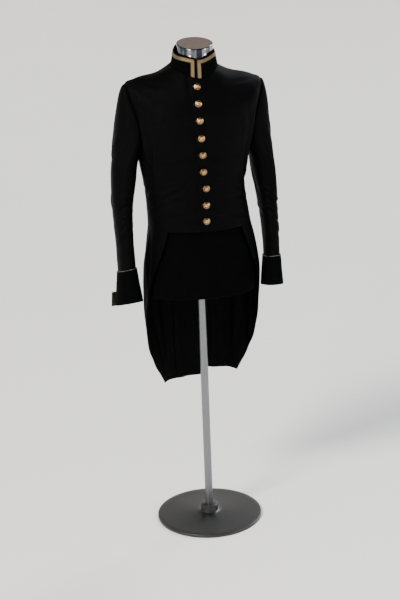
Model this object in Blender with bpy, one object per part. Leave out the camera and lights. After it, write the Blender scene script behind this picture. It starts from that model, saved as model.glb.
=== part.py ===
"""A coatee, buttoned up on a limbless dress form that stands on a pole and a round base.

Metres, +Z up. The coat's front faces -Y, and +X is the wearer's left.
"""

import math
from collections import namedtuple

import bmesh
import bpy
from mathutils import Matrix, Vector

# cloth
WALL = 0.002                # broadcloth with its interlining
VELVET_WALL = 0.0024        # velvet over buckram
BRAID = 0.0008              # gold lace and braid
SEAM = 0.0003               # between the edges of two panels
LAYER = 0.0004              # between layers that lie on each other
LAYER_STEP = WALL + LAYER   # how far an under layer lies below the outer surface

# The coat's outer surface is a stack of rings round the body. level is a ring's height at
# the centre back, front_rise and side_rise lift it at the front and sides, fullness squares
# its corners, shift is the lean to the wearer's left, tilt drops it on that side, and ease
# and side_ease are the room between the cloth and the form, at the front and back and at
# the sides
Ring = namedtuple("Ring", "level front_rise side_rise half_width front back fullness shift "
                          "tilt ease side_ease")
BODY_RINGS = (
    Ring(0.470, 0.000, 0.000, 0.1580, 0.100, 0.130, 0.02, 0.000, 0.000, 0.0100, 0.0100),
    Ring(0.600, 0.000, 0.000, 0.1720, 0.106, 0.138, 0.03, 0.000, 0.000, 0.0100, 0.0100),
    Ring(0.720, 0.000, 0.000, 0.1810, 0.112, 0.146, 0.04, 0.000, 0.000, 0.0100, 0.0100),
    Ring(0.850, 0.000, 0.000, 0.1810, 0.119, 0.149, 0.05, 0.003, 0.000, 0.0100, 0.0100),
    Ring(0.930, 0.000, 0.000, 0.1700, 0.121, 0.138, 0.05, 0.003, 0.000, 0.0100, 0.0100),
    Ring(1.003, 0.000, 0.000, 0.1590, 0.121, 0.117, 0.05, 0.001, 0.000, 0.0090, 0.0080),
    Ring(1.060, 0.000, 0.000, 0.1555, 0.120, 0.102, 0.05, -0.004, 0.000, 0.0060, 0.0060),
    Ring(1.130, 0.000, 0.000, 0.1550, 0.118, 0.094, 0.05, -0.009, 0.000, 0.0050, 0.0050),
    Ring(1.200, 0.000, 0.000, 0.1665, 0.126, 0.105, 0.05, -0.009, 0.000, 0.0060, 0.0060),
    Ring(1.270, 0.000, 0.000, 0.1790, 0.133, 0.118, 0.05, -0.007, 0.000, 0.0070, 0.0060),
    Ring(1.320, -0.002, 0.008, 0.1900, 0.133, 0.123, 0.045, -0.004, 0.008, 0.0060, 0.0060),
    Ring(1.358, -0.005, 0.033, 0.2010, 0.128, 0.121, 0.030, -0.002, 0.020, 0.0050, 0.0060),
    Ring(1.385, -0.010, 0.056, 0.2060, 0.122, 0.117, 0.010, -0.001, 0.028, 0.0050, 0.0065),
    Ring(1.405, -0.014, 0.048, 0.1830, 0.117, 0.112, 0.005, 0.000, 0.028, 0.0050, 0.0055),
    Ring(1.430, -0.020, 0.032, 0.1560, 0.111, 0.104, 0.000, 0.001, 0.028, 0.0045, 0.0040),
    Ring(1.470, -0.035, 0.001, 0.1100, 0.101, 0.086, 0.000, 0.002, 0.022, 0.0045, 0.0012),
    Ring(1.508, -0.047, -0.0195, 0.0710, 0.087, 0.058, 0.00, 0.003, 0.025, 0.0045, 0.0030),
)
TAIL_HEM = 0.470            # levels, from the bottom up
TAIL_DROP = {"left": 0.0, "right": 0.024}   # of each tail below that hem
WAIST_SEAM = 1.003
NECK_SEAM = 1.508

# long soft folds down the tails, which grow from high to low
Fold = namedtuple("Fold", "angle spread depth low high")
TAIL_FOLDS = (
    Fold(104, 10, 0.004, 0.47, 0.90),
    Fold(125, 9, -0.005, 0.47, 0.88),
    Fold(143, 8, 0.004, 0.47, 0.84),
    Fold(-108, 11, 0.005, 0.47, 0.93),
    Fold(-129, 8, -0.004, 0.47, 0.86),
    Fold(-146, 9, 0.004, 0.47, 0.80),
)

# armhole, a loop round the side of the body
ARMHOLE_LEVEL = 1.3000
ARMHOLE_HALF = 0.0860       # in height
ARMHOLE_SPREAD = 25         # degrees round the body, forward and back of the side
ARMHOLE_STEP = 15           # degrees round the loop between two points of its edge
SIDE_SEAM_TURN = 150        # where the side seam meets the loop
BACK_SEAM_TURN = 240        # where the side-back seam meets it

# seams and edges of the panels
SIDE = 90                   # the shoulder seam runs along the side of the rings
CENTRE_BACK = 180
BACK_SEAM_FOOT = 162        # the side-back seam's angle at the waist
BACK_SEAM_BEND = 2.5        # how late it swings out to the armhole
LAP_OVER = 0.018            # the left front's edge, past the buttons
LAP_UNDER = 0.022           # the right front's edge, the other way
VENT_LAP = 0.024            # left tail over right
VENT_TOP = 0.992
VENT_CORNER = 0.015         # height over which the lap begins
VENT_FADE = 0.036           # height above the waist over which the under layer sinks
TUCK = 0.0020               # from an upper layer's edge to where the under one starts to rise
FRONT_RAMP = 0.018          # width over which it rises
BACK_RAMP = 0.0085

# tails
TAIL_FRONT_TOP = 44         # the front edge's angle at the waist seam
TAIL_FRONT_FOOT = 127       # and at the hem
TAIL_FRONT_SWEEP = 1.25     # above 1 it leaves the waist steeply, then sweeps back
BACK_SKIRT_FOOT = 150       # the pleat's edge at the hem
PLEAT_TOP_DEPTH = 0.016     # tucked under the back skirt at the waist
PLEAT_FOOT_DEPTH = 0.034    # and at the hem
PLEAT_RETURN = 0.6          # share of it that is turned back inside
PLEAT_RAMP = 0.018
PLEAT_STEP = 0.0026         # the tucked layer, below the back skirt's outer surface
PLEAT_GAP = 0.0006          # inside the fold

# The buttons lie near a line down the front, which its lapped edges follow. Each is sewn a
# little off it
LINE_TOP = 1.444
LINE_FOOT = 1.036
LINE_X_TOP = -0.0105
LINE_X_FOOT = 0.0055
Place = namedtuple("Place", "across height")     # of a front button's middle
FRONT_BUTTONS = (
    Place(-0.0084, 1.4395),
    Place(-0.0103, 1.3927),
    Place(-0.0104, 1.3450),
    Place(-0.0084, 1.2937),
    Place(-0.0055, 1.2430),
    Place(-0.0041, 1.1905),
    Place(0.0039, 1.1374),
    Place(0.0023, 1.0855),
    Place(0.0010, 1.0366),
)
BUTTON_RADIUS = 0.01125
BUTTON_HEIGHT = 0.0078
BUTTON_DOME = ((0.86, 0.26), (1.0, 0.40), (0.93, 0.56), (0.55, 0.90))  # shares of both
HIP_BUTTON_ANGLE = 165.5
HIP_BUTTON_LEVEL = 1.012
SHANK_RADIUS = 0.0035
SHANK_HEIGHT = 0.0016
BUTTON_SEAT = 0.0006        # over the cloth's faceted surface
HALVINGS = 40               # of the span in which a button's level is sought

# Arms, as sections from the biceps to the hand. out and forward place a section's centre,
# and half_left and half_right are half its width
Arm = namedtuple("Arm", "level out_left out_right forward_left forward_right half_left "
                        "half_right half_depth")
ARMS = (
    Arm(0.760, 0.2180, 0.2370, 0.042, 0.060, 0.0220, 0.0290, 0.0520),
    Arm(0.890, 0.2255, 0.2345, 0.013, 0.020, 0.0225, 0.0270, 0.0520),
    Arm(0.960, 0.2250, 0.2345, 0.004, 0.007, 0.0240, 0.0270, 0.0550),
    Arm(1.030, 0.2215, 0.2345, -0.003, -0.004, 0.0270, 0.0290, 0.0580),
    Arm(1.100, 0.2160, 0.2315, -0.008, -0.011, 0.0320, 0.0330, 0.0620),
    Arm(1.165, 0.2080, 0.2245, -0.010, -0.012, 0.0350, 0.0380, 0.0660),
)
ARM_FULLNESS = 0.05
BICEPS = 1.165
SLEEVE_HEAD_REACH = 0.30    # how squarely the sleeve leaves the armhole
SLEEVE_HEAD_FALL = 1.05     # how straight it comes down to the biceps
SLEEVE_HEAD_SPREAD = 0.35   # how far it leaves it forward and back
SLEEVE_HEAD_DROP = 0.12     # and down
FRONT_SLEEVE_SEAM = 135     # degrees round the arm, from its outer side by the front
BACK_SLEEVE_SEAM = 240
SLEEVE_OVERLAP = 0.022      # of the sleeve inside the cuff
CUFF_TOP = {"left": 0.880, "right": 0.878}
CUFF_DEPTH = {"left": 0.090, "right": 0.100}
CUFF_FLARE = {"left": 0.0075, "right": 0.0105}  # the cuff's foot, past its top, on each side
CUFF_SLANT = {"left": -0.002, "right": 0.004}   # how far its outer side hangs lower
CUFF_ROOM = 0.0007          # between the cuff and the sleeve inside it
CUFF_BRAID_WIDTH = 0.003
EDGE_INSET = 0.0005

# soft creases down and across the sleeves
Crease = namedtuple("Crease", "side turn spread level length depth")
SLEEVE_CREASES = (
    Crease("right", 25, 16, 1.180, 0.110, 0.0025),
    Crease("right", 62, 15, 1.150, 0.120, -0.0025),
    Crease("right", 98, 21, 1.075, 0.016, -0.0040),
    Crease("right", 94, 22, 1.035, 0.014, 0.0025),
    Crease("right", 300, 22, 1.060, 0.060, 0.0025),
    Crease("left", 20, 15, 1.200, 0.120, -0.0020),
    Crease("left", 55, 16, 1.160, 0.100, 0.0025),
    Crease("left", 100, 21, 1.068, 0.015, -0.0035),
    Crease("left", 95, 23, 1.030, 0.016, 0.0025),
    Crease("left", 295, 22, 1.080, 0.070, 0.0020),
)

# vent tab of the right cuff
TAB_TURN = -52
TAB_WIDTH = 0.027
TAB_HEIGHT = 0.042
TAB_LOW = -0.002            # above the cuff's foot
TAB_LIFT = 0.006            # how far its free end springs out

# collar
COLLAR_TOP = Ring(1.553, 0, -0.019, 0.0615, 0.0725, 0.054, 0.02, 0.0045, 0.025, 0, 0)
COLLAR_DIP = 0.034          # of its top edge at the front
COLLAR_DIP_BEND = {"left": 2.0, "right": 1.2}   # a lower one makes the dip wider
COLLAR_OPENING_X = -0.0075
COLLAR_OPENING_HALF = 0.0005
COLLAR_SEAM = 0.0009        # above the neck edge
COLLAR_COLUMNS = 15         # a side, past the front lace
LACE_WIDTH = 0.012
LACE_FRONT_INSET = 0.004
LACE_TOP_INSET = 0.004
LACE_FOOT_INSET = 0.001

# dress form and stand
FORM_FOOT = 0.780
FORM_FOOT_ROUND = 0.012
FORM_FOOT_EDGE = ((0, 2.0), (0, 1.0), (0.3, 0.3), (1.0, 0.0))  # rise and inset, shares of it
FORM_LEVELS = (0.84, 0.89, 0.93, 0.965, 1.003, 1.04, 1.085, 1.13, 1.175, 1.22, 1.27, 1.31,
               1.34, 1.36, 1.375, 1.385, 1.395, 1.405, 1.418, 1.43, 1.45, 1.47, 1.49, 1.508)
FORM_COLUMNS = 32
NECK_HOLLOW = 0.55          # share of the way up from the last level to the cap
NECK_RADIUS = 0.0545
NECK_TILT = math.radians(11)         # of the cap's faces, forward
CAP_WALL_TILT = math.radians(1)      # of its wall
NECK_X = 0.0055
CAP_TOP = (NECK_X, -0.012, 1.555)
CAP_HEIGHT = 0.040
CAP_ROUND = 0.002
CAP_CORNER = 0.3            # share of it that is cut off the middle of its corner
POLE_RADIUS = 0.0125
FLANGE_RADIUS = 0.045
FLANGE_HEIGHT = 0.006
BASE_RADIUS = 0.170
BASE_HEIGHT = 0.010
BASE_DOME = 0.006
HUB_RADIUS = 0.028
HUB_HEIGHT = 0.040
BASE_BEVEL = 0.002

SIDES = (("left", 1), ("right", -1))

# rows and columns of the grids
WAIST_ROWS = 7
SHOULDER_SHARES = (0.08, 0.19, 0.34, 0.53, 0.76, 1.0)    # of the way up from the armhole
TAIL_ROWS = 8
FRONT_COLUMNS = 6
BACK_COLUMNS = 4
SKIRT_COLUMNS = 9
TUCKED_SHARES = (0.33, 0.67, 1.0)    # of the pleat's depth
PLEAT_TURNS = (60, 120, 180)         # degrees round its fold
RETURN_SHARES = (0.5, 1.0)           # of the cloth turned back inside
TAB_SHARES = (0.0, 0.3, 0.6, 1.0)    # of its width
TAB_ROWS = 2
HEAD_ROWS = 6
SLEEVE_ROWS = 8
CUFF_ROWS = 3
LAP_COLUMNS = 3
COLLAR_ROWS = 3
BUTTON_SIDES = 10
ROUND_SIDES = 32


def clear_scene():
    for obj in list(bpy.data.objects):
        bpy.data.objects.remove(obj, do_unlink=True)


def make_material(name, colour, roughness, metallic=0.0):
    material = bpy.data.materials.new(name)
    material.use_nodes = True
    shader = material.node_tree.nodes["Principled BSDF"]
    shader.inputs["Base Color"].default_value = (*colour, 1.0)
    shader.inputs["Roughness"].default_value = roughness
    shader.inputs["Metallic"].default_value = metallic
    material.diffuse_color = (*colour, 1.0)
    return material


def make_object(name, points, faces, material):
    """A mesh object with its faces turned outwards."""
    mesh = bpy.data.meshes.new(name)
    mesh.from_pydata([tuple(p) for p in points], [], faces)
    shape = bmesh.new()
    shape.from_mesh(mesh)
    bmesh.ops.recalc_face_normals(shape, faces=shape.faces)
    shape.to_mesh(mesh)
    shape.free()
    mesh.shade_smooth()
    mesh.set_sharp_from_angle(angle=math.radians(40))
    mesh.materials.append(material)
    obj = bpy.data.objects.new(name, mesh)
    bpy.context.scene.collection.objects.link(obj)
    return obj


def make_wall(name, cells, outer, inner, material):
    """A closed wall over grid cells; outer and inner map a grid corner to its point.

    A cell is its four corners in order. Each cell edge that no other cell shares gets a
    strip between the two surfaces.
    """
    keys = sorted({key for cell in cells for key in cell})
    place = {key: index for index, key in enumerate(keys)}
    points = [outer[key] for key in keys] + [inner[key] for key in keys]
    count = len(keys)
    faces = []
    edges = {}
    for cell in cells:
        ids = [place[key] for key in cell]
        faces.append(ids)
        faces.append([i + count for i in reversed(ids)])
        for first, second in zip(ids, ids[1:] + ids[:1]):
            edge = (min(first, second), max(first, second))
            edges.setdefault(edge, []).append((first, second))
    for uses in edges.values():
        if len(uses) == 1:
            first, second = uses[0]
            faces.append([second, first, first + count, second + count])
    return make_object(name, points, faces, material)


def grid_cells(rows, columns, closed=False):
    """Cells of a grid with this many spaces each way; closed joins the last to the first."""
    across = columns if closed else columns + 1
    return [
        ((row, col), (row, (col + 1) % across), (row + 1, (col + 1) % across), (row + 1, col))
        for row in range(rows)
        for col in range(columns)
    ]


def grid_points(rows):
    return {(i, j): point for i, row in enumerate(rows) for j, point in enumerate(row)}


def make_turned(name, profile, sides, frame, material):
    """A profile of (radius, height) turned round the frame's Z; radius 0 closes an end."""
    points = []
    rings = []
    for radius, height in profile:
        steps = 1 if radius == 0 else sides
        rings.append(range(len(points), len(points) + steps))
        for step in range(steps):
            angle = 2 * math.pi * step / sides
            local = Vector((radius * math.cos(angle), radius * math.sin(angle), height))
            points.append(frame @ local)
    faces = []
    for low, high in zip(rings, rings[1:]):
        for step in range(sides):
            after = (step + 1) % sides
            corners = [low[step % len(low)], low[after % len(low)],
                       high[after % len(high)], high[step % len(high)]]
            faces.append(list(dict.fromkeys(corners)))
    return make_object(name, points, faces, material)


def mix(a, b, share):
    return a + (b - a) * share


def ease_in_out(share):
    share = min(max(share, 0.0), 1.0)
    return share * share * (3 - 2 * share)


def row_at(rows, level):
    """Every column of a table at a level, on a smooth curve through its rows."""
    last = len(rows) - 2
    index = 0
    while index < last and rows[index + 1].level < level:
        index += 1
    low, high = rows[index], rows[index + 1]
    span = high.level - low.level
    share = (level - low.level) / span
    before = rows[max(index - 1, 0)]
    after = rows[min(index + 2, len(rows) - 1)]
    square, cube = share ** 2, share ** 3
    values = []
    for a, b, c, d in zip(before, low, high, after):
        start = (c - a) / (high.level - before.level) * span
        end = (d - b) / (after.level - low.level) * span
        values.append((2 * cube - 3 * square + 1) * b + (cube - 2 * square + share) * start
                      + (3 * square - 2 * cube) * c + (cube - square) * end)
    return type(low)(*values)


def tail_fold(angle, level):
    """How far the tails' soft folds stand out at a place."""
    if level >= WAIST_SEAM:
        return 0.0
    turned = (angle + 180) % 360 - 180
    lift = 0.0
    for fold in TAIL_FOLDS:
        grown = ease_in_out((fold.high - level) / (fold.high - fold.low))
        lift += fold.depth * grown * math.exp(-((turned - fold.angle) / fold.spread) ** 2)
    return lift


def ring_point(ring, angle, lift=0.0):
    """A point on a ring, angle degrees from the centre front to the wearer's left."""
    radians = math.radians(angle)
    sine, cosine = math.sin(radians), math.cos(radians)
    swell = 1 + ring.fullness * math.sin(2 * radians) ** 2
    depth = ring.front if cosine > 0 else ring.back
    rise = ring.side_rise * sine ** 4
    if cosine > 0:
        rise += ring.front_rise * cosine ** 2
    across = (ring.half_width * swell + lift) * sine
    return Vector((ring.shift + across, -(depth * swell + lift) * cosine,
                   ring.level + rise - ring.tilt * across))


def body_surface(angle, level):
    return ring_point(row_at(BODY_RINGS, level), angle, tail_fold(angle, level))


def body_point(angle, level, lift=0.0):
    """A point of the coat's outer surface, moved out along its normal by lift."""
    nudge, turn = 0.0005, 0.2
    point = body_surface(angle, level)
    if lift == 0:
        return point
    up = body_surface(angle, level + nudge) - body_surface(angle, level - nudge)
    round_body = body_surface(angle + turn, level) - body_surface(angle - turn, level)
    return point + round_body.cross(up).normalized() * lift


def degrees_for(distance, angle, level):
    """The angle that a distance round the body takes up there."""
    turn = 0.5
    step = (body_surface(angle + turn, level) - body_surface(angle - turn, level)).length
    return distance * 2 * turn / step


def body_wall(name, rows, wall, material):
    """A panel of the body from rows of (angle, level, lift)."""
    outer = grid_points([[body_point(*spot) for spot in row] for row in rows])
    inner = grid_points([[body_point(a, v, lift - wall) for a, v, lift in row] for row in rows])
    return make_wall(name, grid_cells(len(rows) - 1, len(rows[0]) - 1), outer, inner, material)


def armhole(turn, grow=0.0):
    """The angle and level of a point on the left armhole; 0 is its top, 90 its front."""
    radians = math.radians(turn)
    spread = ARMHOLE_SPREAD + degrees_for(grow, SIDE, ARMHOLE_LEVEL)
    angle = SIDE - spread * math.sin(radians)
    return angle, ARMHOLE_LEVEL + (ARMHOLE_HALF + grow) * math.cos(radians)


HALF_SEAM = SEAM / 2
SEAM_DEGREES = degrees_for(HALF_SEAM, SIDE, ARMHOLE_LEVEL)
SIDE_SEAM, SIDE_SEAM_TOP = armhole(SIDE_SEAM_TURN)
BACK_SEAM_HEAD, BACK_SEAM_TOP = armhole(BACK_SEAM_TURN)


def back_seam(level):
    """The angle of the side-back seam, and below the waist of the pleat's edge."""
    if level < WAIST_SEAM:
        down = (WAIST_SEAM - level) / (WAIST_SEAM - TAIL_HEM)
        return mix(BACK_SEAM_FOOT, BACK_SKIRT_FOOT, ease_in_out(down))
    climbed = (level - WAIST_SEAM) / (BACK_SEAM_TOP - WAIST_SEAM)
    return mix(BACK_SEAM_FOOT, BACK_SEAM_HEAD, climbed ** BACK_SEAM_BEND)


def waist_levels(top):
    foot = WAIST_SEAM + HALF_SEAM
    return [mix(foot, top, row / WAIST_ROWS) for row in range(WAIST_ROWS + 1)]


def shoulder_levels():
    start = armhole(0, HALF_SEAM)[1]
    return [mix(start, NECK_SEAM, share) for share in SHOULDER_SHARES]


def armhole_turns(start, end):
    step = ARMHOLE_STEP if end > start else -ARMHOLE_STEP
    return range(start, end + step, step)


def line_x(height):
    return mix(LINE_X_TOP, LINE_X_FOOT, (LINE_TOP - height) / (LINE_TOP - LINE_FOOT))


def lap_distances(lap, ramp):
    """Columns from a lapped edge inwards: across the lap, just past it, and up the ramp."""
    across = [lap * step / LAP_COLUMNS for step in range(LAP_COLUMNS + 1)]
    return across + [lap + TUCK, lap + TUCK + ramp]


def front_row(side, level, outer_edge):
    """One row of a front, from its edge at the buttons to its outer edge."""
    sign = dict(SIDES)[side]
    ring = row_at(BODY_RINGS, level)
    line = line_x(ring.level + ring.front_rise)
    edge = line - LAP_OVER if side == "left" else line + LAP_UNDER
    distances = lap_distances(LAP_OVER + LAP_UNDER, FRONT_RAMP)
    row = []
    for distance in distances:
        x = edge + sign * distance
        angle = math.degrees(math.asin((x - ring.shift) / ring.half_width))
        sunk = side == "right" and distance != distances[-1]
        row.append((angle, level, -LAYER_STEP if sunk else 0.0))
    start = row[-1][0]
    for column in range(1, FRONT_COLUMNS + 1):
        row.append((mix(start, sign * outer_edge, column / FRONT_COLUMNS), level, 0.0))
    return row


def make_front(side, material):
    rows = [front_row(side, level, SIDE_SEAM - SEAM_DEGREES)
            for level in waist_levels(SIDE_SEAM_TOP)]
    for turn in armhole_turns(SIDE_SEAM_TURN, 0)[1:]:
        angle, level = armhole(turn, HALF_SEAM)
        rows.append(front_row(side, level, angle - (SEAM_DEGREES if turn == 0 else 0)))
    rows += [front_row(side, level, SIDE - SEAM_DEGREES) for level in shoulder_levels()]
    return body_wall("front_" + side, rows, WALL, material)


def make_side_body(side, material):
    """The narrow panel under the arm; its columns end at points of the armhole."""
    sign = dict(SIDES)[side]
    columns = []
    for turn in armhole_turns(SIDE_SEAM_TURN, BACK_SEAM_TURN):
        angle, top = armhole(turn)
        share = (angle - SIDE_SEAM) / (back_seam(top) - SIDE_SEAM)
        trim = SEAM_DEGREES * (1 - 2 * share)
        lowered = 0 if turn in (SIDE_SEAM_TURN, BACK_SEAM_TURN) else HALF_SEAM
        column = []
        for level in waist_levels(top - lowered):
            column.append((sign * (mix(SIDE_SEAM, back_seam(level), share) + trim), level, 0.0))
        columns.append(column)
    rows = list(zip(*columns))
    return body_wall("side_body_" + side, rows, WALL, material)


def back_row(side, level, outer_edge):
    """One row of a back, from the centre to its outer edge."""
    sign = dict(SIDES)[side]
    ring = row_at(BODY_RINGS, level)
    lapped = ease_in_out((VENT_TOP - level) / VENT_CORNER) * VENT_LAP / 2
    edge = sign * (HALF_SEAM - lapped)
    sunk = ease_in_out((WAIST_SEAM + VENT_FADE - level) / VENT_FADE) if side == "right" else 0.0
    distances = lap_distances(VENT_LAP, BACK_RAMP)
    row = []
    for distance in distances:
        across = math.degrees(math.asin((edge + sign * distance) / ring.half_width))
        lift = 0.0 if distance == distances[-1] else -LAYER_STEP * sunk
        row.append((sign * CENTRE_BACK - across, level, lift))
    start = row[-1][0]
    for column in range(1, BACK_COLUMNS + 1):
        row.append((mix(start, sign * outer_edge, column / BACK_COLUMNS), level, 0.0))
    return row


def tail_levels(side, top):
    hem, corner = TAIL_HEM - TAIL_DROP[side], VENT_TOP - VENT_CORNER
    return [mix(hem, corner, row / TAIL_ROWS) for row in range(TAIL_ROWS + 1)] + [VENT_TOP, top]


def make_back(side, material):
    """The back, cut in one with its back skirt down to the tail's hem."""
    levels = tail_levels(side, WAIST_SEAM)[:-1] + waist_levels(BACK_SEAM_TOP)
    rows = [back_row(side, level, back_seam(level) + SEAM_DEGREES) for level in levels]
    for turn in armhole_turns(BACK_SEAM_TURN, 360)[1:]:
        angle, level = armhole(turn, HALF_SEAM)
        rows.append(back_row(side, level, angle + (SEAM_DEGREES if turn == 360 else 0)))
    rows += [back_row(side, level, SIDE + SEAM_DEGREES) for level in shoulder_levels()]
    return body_wall("back_" + side, rows, WALL, material)


def tail_front(level):
    """The angle of the tail's front edge."""
    down = (WAIST_SEAM - level) / (WAIST_SEAM - TAIL_HEM)
    return mix(TAIL_FRONT_TOP, TAIL_FRONT_FOOT, max(down, 0.0) ** TAIL_FRONT_SWEEP)


def pleat_path(level):
    """The fold under the back skirt: distances past the pleat's edge with the depths of the
    cloth's outer and inner side; at the turn the two sides differ in distance too."""
    tucked = mix(PLEAT_TOP_DEPTH, PLEAT_FOOT_DEPTH, (WAIST_SEAM - level) / (WAIST_SEAM - TAIL_HEM))
    outside = WALL + PLEAT_GAP / 2
    inside = PLEAT_GAP / 2
    middle = -PLEAT_STEP - outside
    distances = [-TUCK] + [share * tucked for share in TUCKED_SHARES]
    path = [((distance, -PLEAT_STEP), (distance, -PLEAT_STEP - WALL)) for distance in distances]
    for turn in PLEAT_TURNS:
        sine, cosine = math.sin(math.radians(turn)), math.cos(math.radians(turn))
        path.append(((tucked + outside * sine, middle + outside * cosine),
                     (tucked + inside * sine, middle + inside * cosine)))
    for share in RETURN_SHARES:
        distance = tucked * (1 - share * PLEAT_RETURN)
        path.append(((distance, middle - outside), (distance, middle - inside)))
    return path


def make_skirt(side, material):
    """The side skirt, from the tail's front edge to the pleat folded under the back skirt."""
    sign = dict(SIDES)[side]
    outer_rows, inner_rows = [], []
    for level in tail_levels(side, WAIST_SEAM - SEAM):
        edge = back_seam(level)
        start = tail_front(level)
        end = edge - degrees_for(TUCK + PLEAT_RAMP, edge, level)
        outer_row, inner_row = [], []
        for column in range(SKIRT_COLUMNS + 1):
            angle = sign * mix(start, end, column / SKIRT_COLUMNS)
            outer_row.append(body_point(angle, level))
            inner_row.append(body_point(angle, level, -WALL))
        for outer_spot, inner_spot in pleat_path(level):
            for row, (distance, depth) in ((outer_row, outer_spot), (inner_row, inner_spot)):
                angle = sign * (edge + degrees_for(distance, edge, level))
                row.append(body_point(angle, level, depth))
        outer_rows.append(outer_row)
        inner_rows.append(inner_row)
    cells = grid_cells(len(outer_rows) - 1, len(outer_rows[0]) - 1)
    name = "skirt_" + side
    return make_wall(name, cells, grid_points(outer_rows), grid_points(inner_rows), material)


def arm_frame(side, level):
    """Centre, outward axis, forward axis, downward axis and half sizes of an arm section."""
    sign = dict(SIDES)[side]

    def centre(height):
        arm = row_at(ARMS, height)
        return Vector((sign * getattr(arm, "out_" + side), -getattr(arm, "forward_" + side),
                       height))

    nudge = 0.004
    level_in = min(max(level, ARMS[0].level + nudge), ARMS[-1].level - nudge)
    down = (centre(level_in - nudge) - centre(level_in + nudge)).normalized()
    outward = Vector((sign, 0, 0))
    outward = (outward - down * outward.dot(down)).normalized()
    forward = Vector((0, -1, 0))
    forward = (forward - down * forward.dot(down)).normalized()
    arm = row_at(ARMS, level)
    return centre(level), outward, forward, down, getattr(arm, "half_" + side), arm.half_depth


def arm_point(side, turn, level, grow=0.0):
    """A point round the arm; turn 0 is its outer side, 90 its front."""
    centre, outward, forward, _, half, depth = arm_frame(side, level)
    radians = math.radians(turn)
    swell = 1 + ARM_FULLNESS * math.sin(2 * radians) ** 2
    across = (half * swell + grow) * math.cos(radians)
    ahead = (depth * swell + grow) * math.sin(radians)
    return centre + outward * across + forward * ahead


def sleeve_head_point(side, turn, share):
    """A point between the armhole, at share 0, and the biceps, at share 1."""
    sign = dict(SIDES)[side]
    radians = math.radians(turn)
    angle, level = armhole(turn)
    leave = Vector((sign, -SLEEVE_HEAD_SPREAD * math.sin(radians), -SLEEVE_HEAD_DROP)).normalized()
    start = body_point(sign * angle, level) + leave * SEAM
    end = arm_point(side, turn, BICEPS)
    down = arm_frame(side, BICEPS)[3]
    length = (end - start).length
    square, cube = share ** 2, share ** 3
    return (start * (2 * cube - 3 * square + 1) + end * (3 * square - 2 * cube)
            + leave * length * SLEEVE_HEAD_REACH * (cube - 2 * square + share)
            + down * length * SLEEVE_HEAD_FALL * (cube - square))


def sleeve_crease(side, turn, level):
    """How far a sleeve's soft creases stand out at a place."""
    lift = 0.0
    for crease in SLEEVE_CREASES:
        if crease.side == side:
            away = (turn - crease.turn + 180) % 360 - 180
            lift += crease.depth * math.exp(-(away / crease.spread) ** 2
                                            - ((level - crease.level) / crease.length) ** 2)
    return lift


def sleeve_foot(side):
    return CUFF_TOP[side] - SLEEVE_OVERLAP


def sleeve_surface(side, turn, along):
    """along runs from 0 at the armhole to 1 at the biceps and 2 at the sleeve's foot."""
    if along < 1:
        return sleeve_head_point(side, turn, along)
    level = mix(BICEPS, sleeve_foot(side), along - 1)
    return arm_point(side, turn, level)


def sleeve_point(side, turn, along, lift):
    """A point of the sleeve's outer surface with its creases, moved out by lift."""
    sign = dict(SIDES)[side]
    nudge, step = 0.004, 1.0
    point = sleeve_surface(side, turn, along)
    low, high = max(along - nudge, 0.0), min(along + nudge, 2.0)
    down = sleeve_surface(side, turn, high) - sleeve_surface(side, turn, low)
    round_arm = sleeve_surface(side, turn + step, along) - sleeve_surface(side, turn - step, along)
    normal = round_arm.cross(down).normalized() * sign
    return point + normal * (lift + sleeve_crease(side, turn, point.z))


def make_sleeve(name, side, start, end, material):
    """A sleeve piece between two seams, start and end degrees round the arm."""
    turns = list(range(start, end + ARMHOLE_STEP, ARMHOLE_STEP))
    trim = math.degrees(HALF_SEAM / ARMS[0].half_depth)
    turns[0] += trim
    turns[-1] -= trim
    steps = [row / HEAD_ROWS for row in range(HEAD_ROWS)]
    steps += [1 + row / SLEEVE_ROWS for row in range(SLEEVE_ROWS + 1)]
    outer = [[sleeve_point(side, turn, along, 0.0) for turn in turns] for along in steps]
    inner = [[sleeve_point(side, turn, along, -WALL) for turn in turns] for along in steps]
    cells = grid_cells(len(steps) - 1, len(turns) - 1)
    return make_wall(name, cells, grid_points(outer), grid_points(inner), material)


def cuff_point(side, turn, down, lift):
    """A point of the cuff's outer surface, down from its top edge, moved out by lift."""
    grow = CUFF_ROOM + VELVET_WALL + CUFF_FLARE[side] * down / CUFF_DEPTH[side]
    slant = CUFF_SLANT[side] * math.cos(math.radians(turn))
    return arm_point(side, turn, CUFF_TOP[side] - down - slant, grow + lift)


def make_cuff(side, material):
    turns = range(0, 360, ARMHOLE_STEP)
    downs = [CUFF_DEPTH[side] * row / CUFF_ROWS for row in range(CUFF_ROWS + 1)]
    outer = [[cuff_point(side, turn, down, 0.0) for turn in turns] for down in downs]
    inner = [[cuff_point(side, turn, down, -VELVET_WALL) for turn in turns] for down in downs]
    cells = grid_cells(CUFF_ROWS, len(turns), closed=True)
    return make_wall("cuff_" + side, cells, grid_points(outer), grid_points(inner), material)


def make_cuff_braid(side, material):
    """The gold line round the cuff's top edge."""
    turns = range(0, 360, ARMHOLE_STEP)
    downs = (EDGE_INSET, EDGE_INSET + CUFF_BRAID_WIDTH)
    outer = [[cuff_point(side, turn, down, SEAM + BRAID) for turn in turns] for down in downs]
    inner = [[cuff_point(side, turn, down, SEAM) for turn in turns] for down in downs]
    cells = grid_cells(1, len(turns), closed=True)
    name = "cuff_lace_" + side
    return make_wall(name, cells, grid_points(outer), grid_points(inner), material)


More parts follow.
